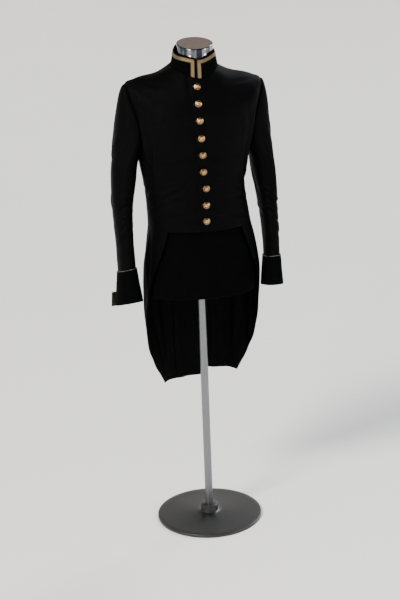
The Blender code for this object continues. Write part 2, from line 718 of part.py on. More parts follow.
def make_tab(material):
    """The under-lap of the right cuff's vent, which springs out past the cuff."""
    side, sign = "right", -1
    low = CUFF_DEPTH[side] - TAB_LOW
    outer_rows, inner_rows = [], []
    for down in (low - TAB_HEIGHT, low - TAB_HEIGHT / TAB_ROWS, low):
        root = cuff_point(side, TAB_TURN, down, 0.0)
        along = (cuff_point(side, TAB_TURN + 1, down, 0.0)
                 - cuff_point(side, TAB_TURN - 1, down, 0.0)).normalized()
        up = (cuff_point(side, TAB_TURN, down - EDGE_INSET, 0.0) - root).normalized()
        normal = up.cross(along).normalized() * sign
        outer_row, inner_row = [], []
        for share in TAB_SHARES:
            spot = root + along * TAB_WIDTH * share + normal * TAB_LIFT * share ** 2
            inner_row.append(spot + normal * SEAM)
            outer_row.append(spot + normal * (SEAM + WALL))
        outer_rows.append(outer_row)
        inner_rows.append(inner_row)
    cells = grid_cells(TAB_ROWS, len(TAB_SHARES) - 1)
    return make_wall("cuff_tab_right", cells, grid_points(outer_rows),
                     grid_points(inner_rows), material)


def collar_columns(side):
    """Angles of the collar's columns from its front end to the centre back."""
    sign = dict(SIDES)[side]
    ring = row_at(BODY_RINGS, NECK_SEAM)
    angles = []
    for distance in (COLLAR_OPENING_HALF, LACE_FRONT_INSET, LACE_FRONT_INSET + LACE_WIDTH):
        x = COLLAR_OPENING_X + sign * distance - ring.shift
        angles.append(math.degrees(math.asin(x / ring.half_width)))
    start = angles[-1]
    for column in range(1, COLLAR_COLUMNS + 1):
        angles.append(mix(start, sign * CENTRE_BACK, column / COLLAR_COLUMNS))
    return angles


def collar_dip(angle):
    """How far the collar's top edge dips at a place towards the front."""
    radians = math.radians(angle)
    side = "left" if math.sin(radians) > 0 else "right"
    return COLLAR_DIP * max(math.cos(radians), 0.0) ** COLLAR_DIP_BEND[side]


def collar_point(angle, share, lift):
    """A point of the collar; share runs from the neck seam to the top edge."""
    base = row_at(BODY_RINGS, NECK_SEAM)
    low = ring_point(base, angle) + Vector((0, 0, COLLAR_SEAM))
    high = ring_point(COLLAR_TOP, angle) - Vector((0, 0, collar_dip(angle)))
    turn = 0.5
    round_neck = ring_point(base, angle + turn) - ring_point(base, angle - turn)
    normal = round_neck.cross(high - low).normalized()
    return low.lerp(high, share) + normal * lift


def collar_height(angle):
    return (collar_point(angle, 1.0, 0.0) - collar_point(angle, 0.0, 0.0)).length


def make_collar(material):
    left, right = collar_columns("left"), collar_columns("right")
    angles = left + [angle + 360 for angle in reversed(right[:-1])]
    shares = [row / COLLAR_ROWS for row in range(COLLAR_ROWS + 1)]
    outer = [[collar_point(angle, share, 0.0) for angle in angles] for share in shares]
    inner = [[collar_point(angle, share, -VELVET_WALL) for angle in angles] for share in shares]
    cells = grid_cells(COLLAR_ROWS, len(angles) - 1)
    return make_wall("collar", cells, grid_points(outer), grid_points(inner), material)


def make_collar_lace(side, material):
    """Gold lace down the collar's front edge and round its top, mitred at the corner."""
    sign = dict(SIDES)[side]
    angles = collar_columns(side)[1:]
    angles[-1] -= sign * math.degrees(HALF_SEAM / COLLAR_TOP.back)
    outer, inner = {}, {}
    for column, angle in enumerate(angles):
        height = collar_height(angle)
        top = 1 - LACE_TOP_INSET / height
        under = 1 - (LACE_TOP_INSET + LACE_WIDTH) / height
        shares = (LACE_FOOT_INSET / height, under / 2, under, top)
        for row, share in enumerate(shares):
            inner[row, column] = collar_point(angle, share, SEAM)
            outer[row, column] = collar_point(angle, share, SEAM + BRAID)
    cells = grid_cells(3, 1)
    cells += [cell for cell in grid_cells(3, len(angles) - 1)
              if cell[0][0] == 2 and cell[0][1] > 0]
    return make_wall("collar_lace_" + side, cells, outer, inner, material)


def button_profile():
    """Half outline of a shanked, domed button from the cloth up."""
    shank = [(0, 0), (SHANK_RADIUS, 0), (SHANK_RADIUS, SHANK_HEIGHT)]
    dome = [(BUTTON_RADIUS * wide, BUTTON_HEIGHT * high) for wide, high in BUTTON_DOME]
    return shank + dome + [(0, BUTTON_HEIGHT)]


def make_button(name, angle, level, material):
    seat = body_point(angle, level, BUTTON_SEAT)
    axis = body_point(angle, level, 1.0) - body_point(angle, level)
    turn = Vector((0, 0, 1)).rotation_difference(axis).to_matrix().to_4x4()
    frame = Matrix.Translation(seat) @ turn
    return make_turned(name, button_profile(), BUTTON_SIDES, frame, material)


def front_level(height):
    """The level whose ring is at this height at the centre front."""
    low, high = WAIST_SEAM, NECK_SEAM
    for _ in range(HALVINGS):
        middle = (low + high) / 2
        ring = row_at(BODY_RINGS, middle)
        if ring.level + ring.front_rise < height:
            low = middle
        else:
            high = middle
    return low


def make_buttons(material):
    for number, place in enumerate(FRONT_BUTTONS, start=1):
        level = front_level(place.height)
        ring = row_at(BODY_RINGS, level)
        angle = math.degrees(math.asin((place.across - ring.shift) / ring.half_width))
        make_button(f"button_front_{number}", angle, level, material)
    for side, sign in SIDES:
        make_button("button_hip_" + side, sign * HIP_BUTTON_ANGLE, HIP_BUTTON_LEVEL, material)


def form_point(angle, level, inset=0.0):
    """A point of the form, inside the coat by the wall and the ease."""
    ring = row_at(BODY_RINGS, level)
    across = math.sin(math.radians(angle)) ** 2
    ease = mix(ring.ease, ring.side_ease, across)
    if level < WAIST_SEAM:
        plain = ring_point(ring, angle)
        inward = Vector((plain.x - ring.shift, plain.y, 0)).normalized()
        return plain - inward * (WALL + ease + inset)
    return body_point(angle, level, -WALL - ease - inset)


def neck_frame():
    """The frame of the cap's foot: its faces lean forward, and its Z runs up the cap's wall."""
    turn = Matrix.Rotation(NECK_TILT, 3, "X")
    wall = Matrix.Rotation(CAP_WALL_TILT, 3, "X") @ Vector((0, 0, 1))
    seat = Vector(CAP_TOP) - wall * CAP_HEIGHT
    axes = Matrix((turn @ Vector((1, 0, 0)), turn @ Vector((0, 1, 0)), wall)).transposed()
    return Matrix.Translation(seat) @ axes.to_4x4()


def make_form(material):
    """The torso: closed at the foot, and up the neck to the cap."""
    rings = []
    angles = [360 * step / FORM_COLUMNS for step in range(FORM_COLUMNS)]
    for rise, inset in FORM_FOOT_EDGE:
        level = FORM_FOOT + FORM_FOOT_ROUND * rise
        rings.append([form_point(angle, level, FORM_FOOT_ROUND * inset) for angle in angles])
    for level in FORM_LEVELS:
        rings.append([form_point(angle, level) for angle in angles])
    frame = neck_frame()
    top = []
    for angle in angles:
        radians = math.radians(angle)
        flat = Vector((math.sin(radians), -math.cos(radians), 0)) * NECK_RADIUS
        top.append(frame @ flat - Vector((0, 0, SEAM / math.cos(NECK_TILT))))
    rings.append([low.lerp(high, NECK_HOLLOW) for low, high in zip(rings[-1], top)])
    rings.append(top)
    points = [point for ring in rings for point in ring]
    count = FORM_COLUMNS
    faces = [list(range(count))]
    faces.append(list(range((len(rings) - 1) * count, len(rings) * count)))
    for row in range(len(rings) - 1):
        for step in range(count):
            after = (step + 1) % count
            faces.append([row * count + step, row * count + after,
                          (row + 1) * count + after, (row + 1) * count + step])
    return make_object("form_torso", points, faces, material)


def make_neck_cap(material):
    profile = [(0, 0), (NECK_RADIUS, 0), (NECK_RADIUS, CAP_HEIGHT - CAP_ROUND),
               (NECK_RADIUS - CAP_ROUND * CAP_CORNER, CAP_HEIGHT - CAP_ROUND * CAP_CORNER),
               (NECK_RADIUS - CAP_ROUND, CAP_HEIGHT), (0, CAP_HEIGHT)]
    return make_turned("form_neck_cap", profile, ROUND_SIDES, neck_frame(), material)


def make_stand(pole_material, base_material):
    top = FORM_FOOT - SEAM
    pole = [(0, HUB_HEIGHT + SEAM), (POLE_RADIUS, HUB_HEIGHT + SEAM),
            (POLE_RADIUS, top - FLANGE_HEIGHT), (FLANGE_RADIUS, top - FLANGE_HEIGHT),
            (FLANGE_RADIUS, top), (0, top)]
    make_turned("form_pole", pole, ROUND_SIDES, Matrix.Identity(4), pole_material)
    base = [(0, 0), (BASE_RADIUS, 0), (BASE_RADIUS, BASE_HEIGHT - BASE_BEVEL),
            (BASE_RADIUS - BASE_BEVEL, BASE_HEIGHT), (HUB_RADIUS, BASE_HEIGHT + BASE_DOME),
            (HUB_RADIUS, HUB_HEIGHT - BASE_BEVEL), (HUB_RADIUS - BASE_BEVEL, HUB_HEIGHT),
            (0, HUB_HEIGHT)]
    make_turned("form_base", base, ROUND_SIDES, Matrix.Identity(4), base_material)


def main():
    clear_scene()
    broadcloth = make_material("black_broadcloth", (0.010, 0.010, 0.012), 0.85)
    velvet = make_material("black_velvet", (0.004, 0.005, 0.005), 0.95)
    gold_lace = make_material("gold_lace", (0.62, 0.46, 0.18), 0.45, 1.0)
    gilt = make_material("gilt_brass", (0.80, 0.55, 0.20), 0.25, 1.0)
    lining = make_material("grey_lining", (0.12, 0.12, 0.12), 0.8)
    jersey = make_material("black_jersey", (0.012, 0.012, 0.013), 0.9)
    chrome = make_material("chrome", (0.75, 0.75, 0.76), 0.08, 1.0)
    steel = make_material("brushed_steel", (0.55, 0.55, 0.55), 0.3, 1.0)
    paint = make_material("black_paint", (0.015, 0.015, 0.015), 0.4)
    for side, _ in SIDES:
        make_front(side, broadcloth)
        make_side_body(side, broadcloth)
        make_back(side, broadcloth)
        make_skirt(side, broadcloth)
        start, end = BACK_SLEEVE_SEAM - 360, FRONT_SLEEVE_SEAM
        make_sleeve("sleeve_top_" + side, side, start, end, broadcloth)
        make_sleeve("sleeve_under_" + side, side, end, BACK_SLEEVE_SEAM, broadcloth)
        make_cuff(side, velvet)
        make_cuff_braid(side, gold_lace)
        make_collar_lace(side, gold_lace)
    make_tab(lining)
    make_collar(velvet)
    make_buttons(gilt)
    make_form(jersey)
    make_neck_cap(chrome)
    make_stand(steel, paint)


main()
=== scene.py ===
"""Looks of a black coatee with gold lace, gilt buttons and tails, buttoned up on its dress form.

Metres, in the frame of the CAD part: +Z up, the coat's front faces -Y, +X is the wearer's left.
The cloth pieces repeat the part's own rings and sections, drawn finer, with creases and seams.
"""

import math
from collections import namedtuple

import bpy
import numpy as np
from mathutils import Matrix, Vector


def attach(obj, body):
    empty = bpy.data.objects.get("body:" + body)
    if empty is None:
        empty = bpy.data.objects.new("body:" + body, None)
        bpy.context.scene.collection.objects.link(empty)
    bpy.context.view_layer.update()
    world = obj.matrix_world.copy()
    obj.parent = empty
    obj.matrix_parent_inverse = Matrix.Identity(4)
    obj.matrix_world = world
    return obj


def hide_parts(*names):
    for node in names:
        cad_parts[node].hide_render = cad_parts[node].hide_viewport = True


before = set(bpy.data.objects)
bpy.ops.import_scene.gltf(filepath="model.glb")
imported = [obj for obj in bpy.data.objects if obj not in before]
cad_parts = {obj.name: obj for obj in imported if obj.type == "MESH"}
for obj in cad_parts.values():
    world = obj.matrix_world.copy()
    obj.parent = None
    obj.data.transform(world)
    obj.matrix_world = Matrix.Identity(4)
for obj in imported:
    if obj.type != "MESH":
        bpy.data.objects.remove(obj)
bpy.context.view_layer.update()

# cloth
WALL = 0.002
VELVET_WALL = 0.0024
BRAID = 0.0008
SEAM = 0.0003
LAYER = 0.0004
LAYER_STEP = WALL + LAYER

# the coat's outer surface, a stack of rings from the tails' hem to the neck seam
Ring = namedtuple("Ring", "level front_rise side_rise half_width front back fullness shift "
                          "tilt ease side_ease")
BODY_RINGS = (
    Ring(0.47, 0, 0, 0.158, 0.1, 0.13, 0.02, 0, 0, 0.01, 0.01),
    Ring(0.6, 0, 0, 0.172, 0.106, 0.138, 0.03, 0, 0, 0.01, 0.01),
    Ring(0.72, 0, 0, 0.181, 0.112, 0.146, 0.04, 0, 0, 0.01, 0.01),
    Ring(0.85, 0, 0, 0.181, 0.119, 0.149, 0.05, 0.003, 0, 0.01, 0.01),
    Ring(0.93, 0, 0, 0.17, 0.121, 0.138, 0.05, 0.003, 0, 0.01, 0.01),
    Ring(1.003, 0, 0, 0.159, 0.121, 0.117, 0.05, 0.001, 0, 0.009, 0.008),
    Ring(1.06, 0, 0, 0.1555, 0.12, 0.102, 0.05, -0.004, 0, 0.006, 0.006),
    Ring(1.13, 0, 0, 0.155, 0.118, 0.094, 0.05, -0.009, 0, 0.005, 0.005),
    Ring(1.2, 0, 0, 0.1665, 0.126, 0.105, 0.05, -0.009, 0, 0.006, 0.006),
    Ring(1.27, 0, 0, 0.179, 0.133, 0.118, 0.05, -0.007, 0, 0.007, 0.006),
    Ring(1.32, -0.002, 0.008, 0.19, 0.133, 0.123, 0.045, -0.004, 0.008, 0.006, 0.006),
    Ring(1.358, -0.005, 0.033, 0.201, 0.128, 0.121, 0.03, -0.002, 0.02, 0.005, 0.006),
    Ring(1.385, -0.01, 0.056, 0.206, 0.122, 0.117, 0.01, -0.001, 0.028, 0.005, 0.0065),
    Ring(1.405, -0.014, 0.048, 0.183, 0.117, 0.112, 0.005, 0, 0.028, 0.005, 0.0055),
    Ring(1.43, -0.02, 0.032, 0.156, 0.111, 0.104, 0, 0.001, 0.028, 0.0045, 0.004),
    Ring(1.47, -0.035, 0.001, 0.11, 0.101, 0.086, 0, 0.002, 0.022, 0.0045, 0.0012),
    Ring(1.508, -0.047, -0.0195, 0.071, 0.087, 0.058, 0, 0.003, 0.025, 0.0045, 0.003),
)
TAIL_HEM = 0.470
TAIL_DROP = {"left": 0.0, "right": 0.024}
WAIST_SEAM = 1.003
NECK_SEAM = 1.508

Fold = namedtuple("Fold", "angle spread depth low high")
TAIL_FOLDS = (
    Fold(104, 10, 0.004, 0.47, 0.9),
    Fold(125, 9, -0.005, 0.47, 0.88),
    Fold(143, 8, 0.004, 0.47, 0.84),
    Fold(-108, 11, 0.005, 0.47, 0.93),
    Fold(-129, 8, -0.004, 0.47, 0.86),
    Fold(-146, 9, 0.004, 0.47, 0.8),
)

# armholes, seams and lapped edges
ARMHOLE_LEVEL = 1.3000
ARMHOLE_HALF = 0.0860
ARMHOLE_SPREAD = 25
SIDE_SEAM_TURN = 150
BACK_SEAM_TURN = 240
SIDE = 90
CENTRE_BACK = 180
BACK_SEAM_FOOT = 162
BACK_SEAM_BEND = 2.5
LAP_OVER = 0.018
LAP_UNDER = 0.022
VENT_LAP = 0.024
VENT_TOP = 0.992
VENT_CORNER = 0.015
VENT_FADE = 0.036
TUCK = 0.0020
FRONT_RAMP = 0.018
BACK_RAMP = 0.0085

# tails
TAIL_FRONT_TOP = 44
TAIL_FRONT_FOOT = 127
TAIL_FRONT_SWEEP = 1.25
BACK_SKIRT_FOOT = 150
PLEAT_TOP_DEPTH = 0.016
PLEAT_FOOT_DEPTH = 0.034
PLEAT_RETURN = 0.6
PLEAT_RAMP = 0.018
PLEAT_STEP = 0.0026
PLEAT_GAP = 0.0006

# the line that the lapped edges follow, and the front buttons near it
LINE_TOP = 1.444
LINE_FOOT = 1.036
LINE_X_TOP = -0.0105
LINE_X_FOOT = 0.0055
Place = namedtuple("Place", "across height")
FRONT_BUTTONS = (
    Place(-0.0084, 1.4395),
    Place(-0.0103, 1.3927),
    Place(-0.0104, 1.345),
    Place(-0.0084, 1.2937),
    Place(-0.0055, 1.243),
    Place(-0.0041, 1.1905),
    Place(0.0039, 1.1374),
    Place(0.0023, 1.0855),
    Place(0.001, 1.0366),
)
BUTTON_RADIUS = 0.01125
BUTTON_HEIGHT = 0.0078
BUTTON_SEAT = 0.0006
HIP_BUTTON_ANGLE = 165.5
HIP_BUTTON_LEVEL = 1.012
SHANK_RADIUS = 0.0035
SHANK_HEIGHT = 0.0016
HEART_HEIGHT = 0.0006       # of the boss in the middle of a button
HOLE_HALF = 0.0085          # half a buttonhole's length
HOLE_HALF_WIDTH = 0.0011
HOLE_PAST = 0.0055          # its middle is this far past the button, towards the edge
SILK_RADIUS = 0.0006
SILK_LIFT = 0.0002          # of the silk's middle, off the cloth

# arms, as sections from the hand up to the biceps
Arm = namedtuple("Arm", "level out_left out_right forward_left forward_right half_left "
                        "half_right half_depth")
ARMS = (
    Arm(0.76, 0.218, 0.237, 0.042, 0.06, 0.022, 0.029, 0.052),
    Arm(0.89, 0.2255, 0.2345, 0.013, 0.02, 0.0225, 0.027, 0.052),
    Arm(0.96, 0.225, 0.2345, 0.004, 0.007, 0.024, 0.027, 0.055),
    Arm(1.03, 0.2215, 0.2345, -0.003, -0.004, 0.027, 0.029, 0.058),
    Arm(1.1, 0.216, 0.2315, -0.008, -0.011, 0.032, 0.033, 0.062),
    Arm(1.165, 0.208, 0.2245, -0.01, -0.012, 0.035, 0.038, 0.066),
)
ARM_FULLNESS = 0.05
BICEPS = 1.165
SLEEVE_HEAD_REACH = 0.30
SLEEVE_HEAD_FALL = 1.05
SLEEVE_HEAD_SPREAD = 0.35
SLEEVE_HEAD_DROP = 0.12
FRONT_SLEEVE_SEAM = 135
BACK_SLEEVE_SEAM = 240
SLEEVE_OVERLAP = 0.022
CUFF_TOP = {"left": 0.880, "right": 0.878}
CUFF_DEPTH = {"left": 0.090, "right": 0.100}
CUFF_FLARE = {"left": 0.0075, "right": 0.0105}
CUFF_SLANT = {"left": -0.002, "right": 0.004}
CUFF_ROOM = 0.0007
CUFF_SWELL = 0.0005         # how far its velvet stands out and sinks in
CUFF_CLEAR = 0.004          # above the cuff, where the sleeve has no creases
CUFF_FADE = 0.03            # above that, over which they begin
CUFF_BRAID_WIDTH = 0.0016
EDGE_INSET = 0.0005
TAB_TURN = -52
TAB_WIDTH = 0.027
TAB_HEIGHT = 0.042
TAB_LOW = -0.002
TAB_LIFT = 0.006

# collar and its lace
COLLAR_TOP = Ring(1.553, 0, -0.019, 0.0615, 0.0725, 0.054, 0.02, 0.0045, 0.025, 0, 0)
COLLAR_DIP = 0.034
COLLAR_DIP_BEND = {"left": 2.0, "right": 1.2}
COLLAR_OPENING_X = -0.0075
COLLAR_OPENING_HALF = 0.0002
COLLAR_SEAM = 0.0009
COLLAR_SWELL = 0.0004       # how far its velvet stands out and sinks in
LACE_WIDTH = 0.012
LACE_FRONT_INSET = 0.004
LACE_TOP_INSET = 0.004
LACE_FOOT_INSET = 0.001
LACE_ROWS = 19              # of corners, up the lace to its turn at the top

# dress form and stand
FORM_FOOT = 0.780
FORM_FOOT_ROUND = 0.012
FORM_WALL_FOOT = 0.797      # the lowest ring above the rounded foot
FORM_COLUMNS = 144
NECK_RADIUS = 0.0545
NECK_TILT = math.radians(11)
CAP_WALL_TILT = math.radians(1)
NECK_X = 0.0055
CAP_TOP = (NECK_X, -0.012, 1.555)
CAP_HEIGHT = 0.040
CAP_ROUND = 0.002
CAP_FLARE = 0.0026          # how far the cap's foot spreads
DISC_DROP = 0.0006          # of the disc, below the cap's rolled edge
NECK_HOLLOW = 0.55
POLE_RADIUS = 0.0125
FLANGE_RADIUS = 0.045
FLANGE_HEIGHT = 0.006
BASE_RADIUS = 0.170
BASE_HEIGHT = 0.010
BASE_DOME = 0.006
HUB_RADIUS = 0.028
HUB_HEIGHT = 0.040
BASE_BEVEL = 0.002

# a plain pale floor that curves up far behind whatever is looked at: how far off, how high
FLOOR = ((0, 0), (9, 0), (12, 0), (14, 0.25), (16, 0.95), (18, 2.1), (20, 3.8), (22, 6.2), (23.5, 9))
CAMERA_AT = Vector((-0.8552, -4.3998, 2.2848))
CAMERA_LOOK = Vector((0.17941, 0.92866, -0.32466))
CAMERA_ROLL = math.radians(2.2)

SIGN = {"left": 1, "right": -1}
HALF_SEAM = SEAM / 2

# spaces between the corners of the cloth grids
CLOTH_STEP = 0.0045
NEAR_EDGE = (0.0, 0.0006, 0.0013, 0.0022, 0.0036)
SEAM_DIP = 0.0008           # a sewn or turned edge rounds down by this
SEAM_DIP_WIDTH = 0.0016
NEAR_TOP = np.array([30, 26, 22, 18, 14, 10, 6, 3, 0])      # turns round an armhole, up to its top
UNEVEN = 0.00022            # height of the waves in cloth that hangs
SHARP = math.radians(40)    # edges that turn more than this stay crisp
FAR = 1.0                   # metres, further off than any edge

# rough lengths, which only space the corners
ARM_RADIUS = 0.05
HEAD_LENGTH = 0.15
SLEEVE_LENGTH = 0.32
SIDE_BODY_LENGTH = 0.24
COLLAR_HEIGHT = 0.05

# Creases pressed or pulled into the coat's body. lean turns one from upright towards the
# wearer's left, reach and width are half sizes in metres, bend curves it, and roll says how
# high the cloth rolls up beside it, as a share of its depth, and on which side
Crease = namedtuple("Crease", "angle level lean reach width depth bend roll")
BODY_CREASES = (
    # beside and below the armholes, where the arms press the cloth in
    (-67, 1.29, 2, 0.064, 0.0105, -0.0062, 0.4, 0.75),
    (-52, 1.262, 9, 0.055, 0.0085, -0.0046, 0.9, 0.55),
    (-62, 1.205, -12, 0.042, 0.0075, -0.004, 0, -0.6),
    (-43, 1.335, 16, 0.04, 0.009, -0.003, 0.5, 0.5),
    (67, 1.284, -3, 0.066, 0.011, -0.0064, -0.4, -0.75),
    (53, 1.25, -11, 0.058, 0.0085, -0.0044, -0.8, -0.5),
    (64, 1.198, 10, 0.04, 0.0075, -0.0038, 0, 0.6),
    (46, 1.345, -18, 0.035, 0.009, -0.0028, 0.4, -0.4),
    (-113, 1.296, -3, 0.062, 0.0105, -0.006, 0.3, -0.7),
    (-128, 1.262, -10, 0.052, 0.009, -0.0044, 0.6, -0.5),
    (-139, 1.335, -20, 0.045, 0.01, -0.0032, 0, -0.5),
    (113, 1.288, 3, 0.064, 0.011, -0.006, -0.3, 0.7),
    (129, 1.255, 11, 0.05, 0.0085, -0.0046, -0.5, 0.5),
    (141, 1.322, 22, 0.038, 0.009, -0.003, 0, 0.5),
    # drawn to the waist by the closed front
    (-16, 1.224, 79, 0.046, 0.006, -0.004, 0.8, -0.7),
    (-25, 1.172, 71, 0.045, 0.006, -0.0032, -0.6, 0.5),
    (-36, 1.118, 64, 0.06, 0.007, -0.0042, 0.5, -0.6),
    (-52, 1.08, 73, 0.055, 0.007, -0.0046, -0.5, -0.5),
    (-69, 1.127, 58, 0.05, 0.008, -0.0042, 0.7, 0.6),
    (-40, 1.048, 80, 0.05, 0.0065, -0.0034, 0, -0.4),
    (23, 1.192, -74, 0.044, 0.006, -0.0034, 0.5, 0.6),
    (36, 1.137, -66, 0.058, 0.007, -0.0042, -0.6, -0.5),
    (54, 1.093, -73, 0.052, 0.007, -0.0044, 0.5, 0.6),
    (71, 1.142, -60, 0.046, 0.008, -0.004, 0, 0.5),
    (38, 1.043, -82, 0.046, 0.006, -0.0032, 0.4, 0.5),
    # across the small of the back
    (-158, 1.118, 80, 0.036, 0.006, -0.0038, 0.6, -0.6),
    (-142, 1.088, 66, 0.045, 0.007, -0.0044, 0, 0.5),
    (-118, 1.107, 74, 0.055, 0.008, -0.0042, -0.5, -0.5),
    (162, 1.102, -77, 0.034, 0.006, -0.0034, -0.6, 0.6),
    (146, 1.126, -63, 0.05, 0.007, -0.0042, 0, -0.5),
    (120, 1.086, -71, 0.052, 0.008, -0.0044, 0.5, 0.5),
    # over the shoulders and below the collar
    (-60, 1.43, 62, 0.03, 0.008, -0.002, 0, 0.4),
    (63, 1.428, -58, 0.032, 0.008, -0.002, 0, -0.4),
    (-166, 1.462, 74, 0.03, 0.006, -0.0024, 0.5, 0.5),
    (158, 1.455, -70, 0.032, 0.006, -0.0024, -0.5, -0.5),
    # down the tails
    (70, 0.905, 7, 0.075, 0.01, -0.005, 0.4, 0.5),
    (92, 0.86, -4, 0.12, 0.013, -0.0065, 0, -0.5),
    (116, 0.905, 5, 0.07, 0.01, -0.005, -0.4, 0.6),
    (134, 0.7, -3, 0.15, 0.012, -0.0062, 0.2, -0.4),
    (112, 0.63, 4, 0.11, 0.013, -0.0055, 0, 0.5),
    (-74, 0.915, -8, 0.065, 0.01, -0.005, 0, -0.5),
    (-95, 0.84, 5, 0.13, 0.014, -0.0065, -0.2, 0.5),
    (-119, 0.9, -4, 0.08, 0.01, -0.005, 0.4, -0.5),
    (-137, 0.68, 3, 0.14, 0.012, -0.006, 0, 0.4),
    (-115, 0.61, -5, 0.105, 0.013, -0.0052, 0.2, -0.5),
    (171, 0.76, 2, 0.16, 0.01, -0.0034, 0, 0.4),
    (-169, 0.7, -2, 0.17, 0.01, -0.0034, 0.1, -0.4),
)
CREASE_ROOM = 0.75          # of the ease over the form, as deep as a crease may sink
FRONT_STIFF = 5             # degrees from the centre front, kept flat by the lapped edges
FRONT_SOFTENS = 9           # degrees more, over which creases begin
ROLL_PLACE = 1.6            # widths from a crease's middle to its roll
SHOULDER = 0.20
SHOULDER_SPREAD = 3.5
METRES_A_DEGREE = 0.0026    # round the body

# Creases of the sleeves: their angle goes round the arm from its outer side by the front
SLEEVE_CREASES = {
    "left": (
        (20, 1.2, 0, 0.12, 0.0133, -0.0034, 0, 0.5),
        (55, 1.16, 0, 0.1, 0.0142, 0.004, 0, 0.3),
        (295, 1.08, 0, 0.07, 0.0195, 0.003, 0, 0),
        (78, 1.062, 70, 0.034, 0.006, -0.0074, 1.5, -0.6),
        (96, 1.032, 82, 0.036, 0.0055, -0.0062, -1.5, -0.6),
        (70, 1.004, 66, 0.032, 0.006, -0.0056, 1.2, 0.5),
        (106, 1.092, 80, 0.03, 0.006, -0.0048, 0, -0.6),
        (60, 0.965, 58, 0.032, 0.0065, -0.004, 0, -0.5),
        (100, 0.93, 72, 0.03, 0.006, -0.0036, 1, -0.5),
        (-40, 1.06, -52, 0.035, 0.008, -0.0044, 0, 0.5),
        (-62, 1.015, -64, 0.03, 0.007, -0.004, 0, -0.5),
        (30, 1.265, 24, 0.045, 0.0085, -0.0042, 0.6, -0.5),
        (-25, 1.245, -18, 0.05, 0.009, -0.004, -0.6, 0.5),
        (100, 1.25, 8, 0.046, 0.011, 0.0044, 0, 0),
        (200, 1.02, 84, 0.03, 0.007, -0.004, 0, -0.5),
        (180, 1.13, 20, 0.05, 0.009, -0.004, 0, 0.4),
    ),
    "right": (
        (25, 1.18, 0, 0.11, 0.0142, 0.004, 0, 0.3),
        (62, 1.15, 0, 0.12, 0.0133, -0.004, 0, 0.5),
        (300, 1.06, 0, 0.06, 0.0195, 0.0037, 0, 0),
        (72, 1.078, 68, 0.036, 0.006, -0.0078, 1.5, -0.6),
        (92, 1.044, 80, 0.038, 0.0055, -0.0064, -1.2, -0.6),
        (64, 1.014, 62, 0.034, 0.0065, -0.0058, 1.5, 0.5),
        (102, 1.106, 84, 0.03, 0.006, -0.0048, 0, -0.6),
        (56, 0.972, 56, 0.034, 0.0065, -0.0044, 0, -0.5),
        (96, 0.938, 74, 0.03, 0.006, -0.0038, 1, -0.5),
        (-36, 1.075, -50, 0.036, 0.008, -0.0046, 0, 0.5),
        (-58, 1.028, -60, 0.032, 0.007, -0.0042, 0, -0.5),
        (34, 1.255, 28, 0.048, 0.0085, -0.0044, 0.6, -0.5),
        (-20, 1.235, -22, 0.05, 0.009, -0.004, -0.6, 0.5),
        (98, 1.256, 6, 0.048, 0.011, 0.0046, 0, 0),
        (204, 1.01, 82, 0.03, 0.007, -0.004, 0, -0.5),
        (184, 1.14, 16, 0.05, 0.009, -0.004, 0, 0.4),
    ),
}
METRES_A_TURN = 0.00085     # a degree round the arm
HEAD_SMOOTH = 0.22          # of the sleeve's head, next to the armhole, has no creases
GATHER = 0.0009             # how far the gathers of the sleeve's head stand out

# How each piece was cut, on the left and on the right, flat and with its turnings left off: its
# widest, its longest and its area, after how it is held and on what
Cut = namedtuple("Cut", "piece held rests_on left right", defaults=(None,))
CUTS = (
    Cut("front_{}_cloth", "draped", ["form_cover"], (0.262, 0.610, 0.1110), (0.262, 0.623, 0.1160)),
    Cut("side_body_{}_cloth", "draped", ["form_cover"], (0.200, 0.301, 0.0364), (0.200, 0.302, 0.0362)),
    Cut("back_{}_cloth", "draped", ["form_cover"], (0.268, 1.185, 0.1232), (0.270, 1.225, 0.1270)),
    Cut("skirt_{}_cloth", "hung", ["front_{}_cloth", "side_body_{}_cloth"],
        (0.319, 0.578, 0.1315), (0.319, 0.606, 0.1355)),
    Cut("sleeve_top_{}_cloth", "hung", ["front_{}_cloth", "back_{}_cloth"],
        (0.240, 0.590, 0.1063), (0.245, 0.606, 0.1122)),
    Cut("sleeve_under_{}_cloth", "hung", ["sleeve_top_{}_cloth"],
        (0.114, 0.422, 0.0377), (0.114, 0.431, 0.0384)),
    Cut("cuff_{}_velvet", "laid", ["sleeve_top_{}_cloth"],
        (0.312, 0.095, 0.0265), (0.350, 0.107, 0.0328)),
    Cut("cuff_tab_lining", "hung", ["cuff_right_velvet"], (0.028, 0.044, 0.0012)),
    Cut("collar_velvet", "laid",
        ["front_left_cloth", "front_right_cloth", "back_left_cloth", "back_right_cloth"],
        (0.465, 0.059, 0.0201)),
    Cut("collar_lace_{}_woven", "laid", ["collar_velvet"],
        (0.012, 0.288, 0.0032), (0.012, 0.260, 0.0029)),
)


def unit(vectors):
    return vectors / np.linalg.norm(vectors, axis=-1, keepdims=True)


def mix(a, b, share):
    return a + (b - a) * share


def ease_in_out(share):
    share = np.clip(share, 0.0, 1.0)
    return share * share * (3 - 2 * share)


def curve_weights(share):
    """Weights of a smooth curve's start, the way it leaves, its end, and the way it arrives."""
    square, cube = share ** 2, share ** 3
    return (2 * cube - 3 * square + 1, cube - 2 * square + share, 3 * square - 2 * cube,
            cube - square)


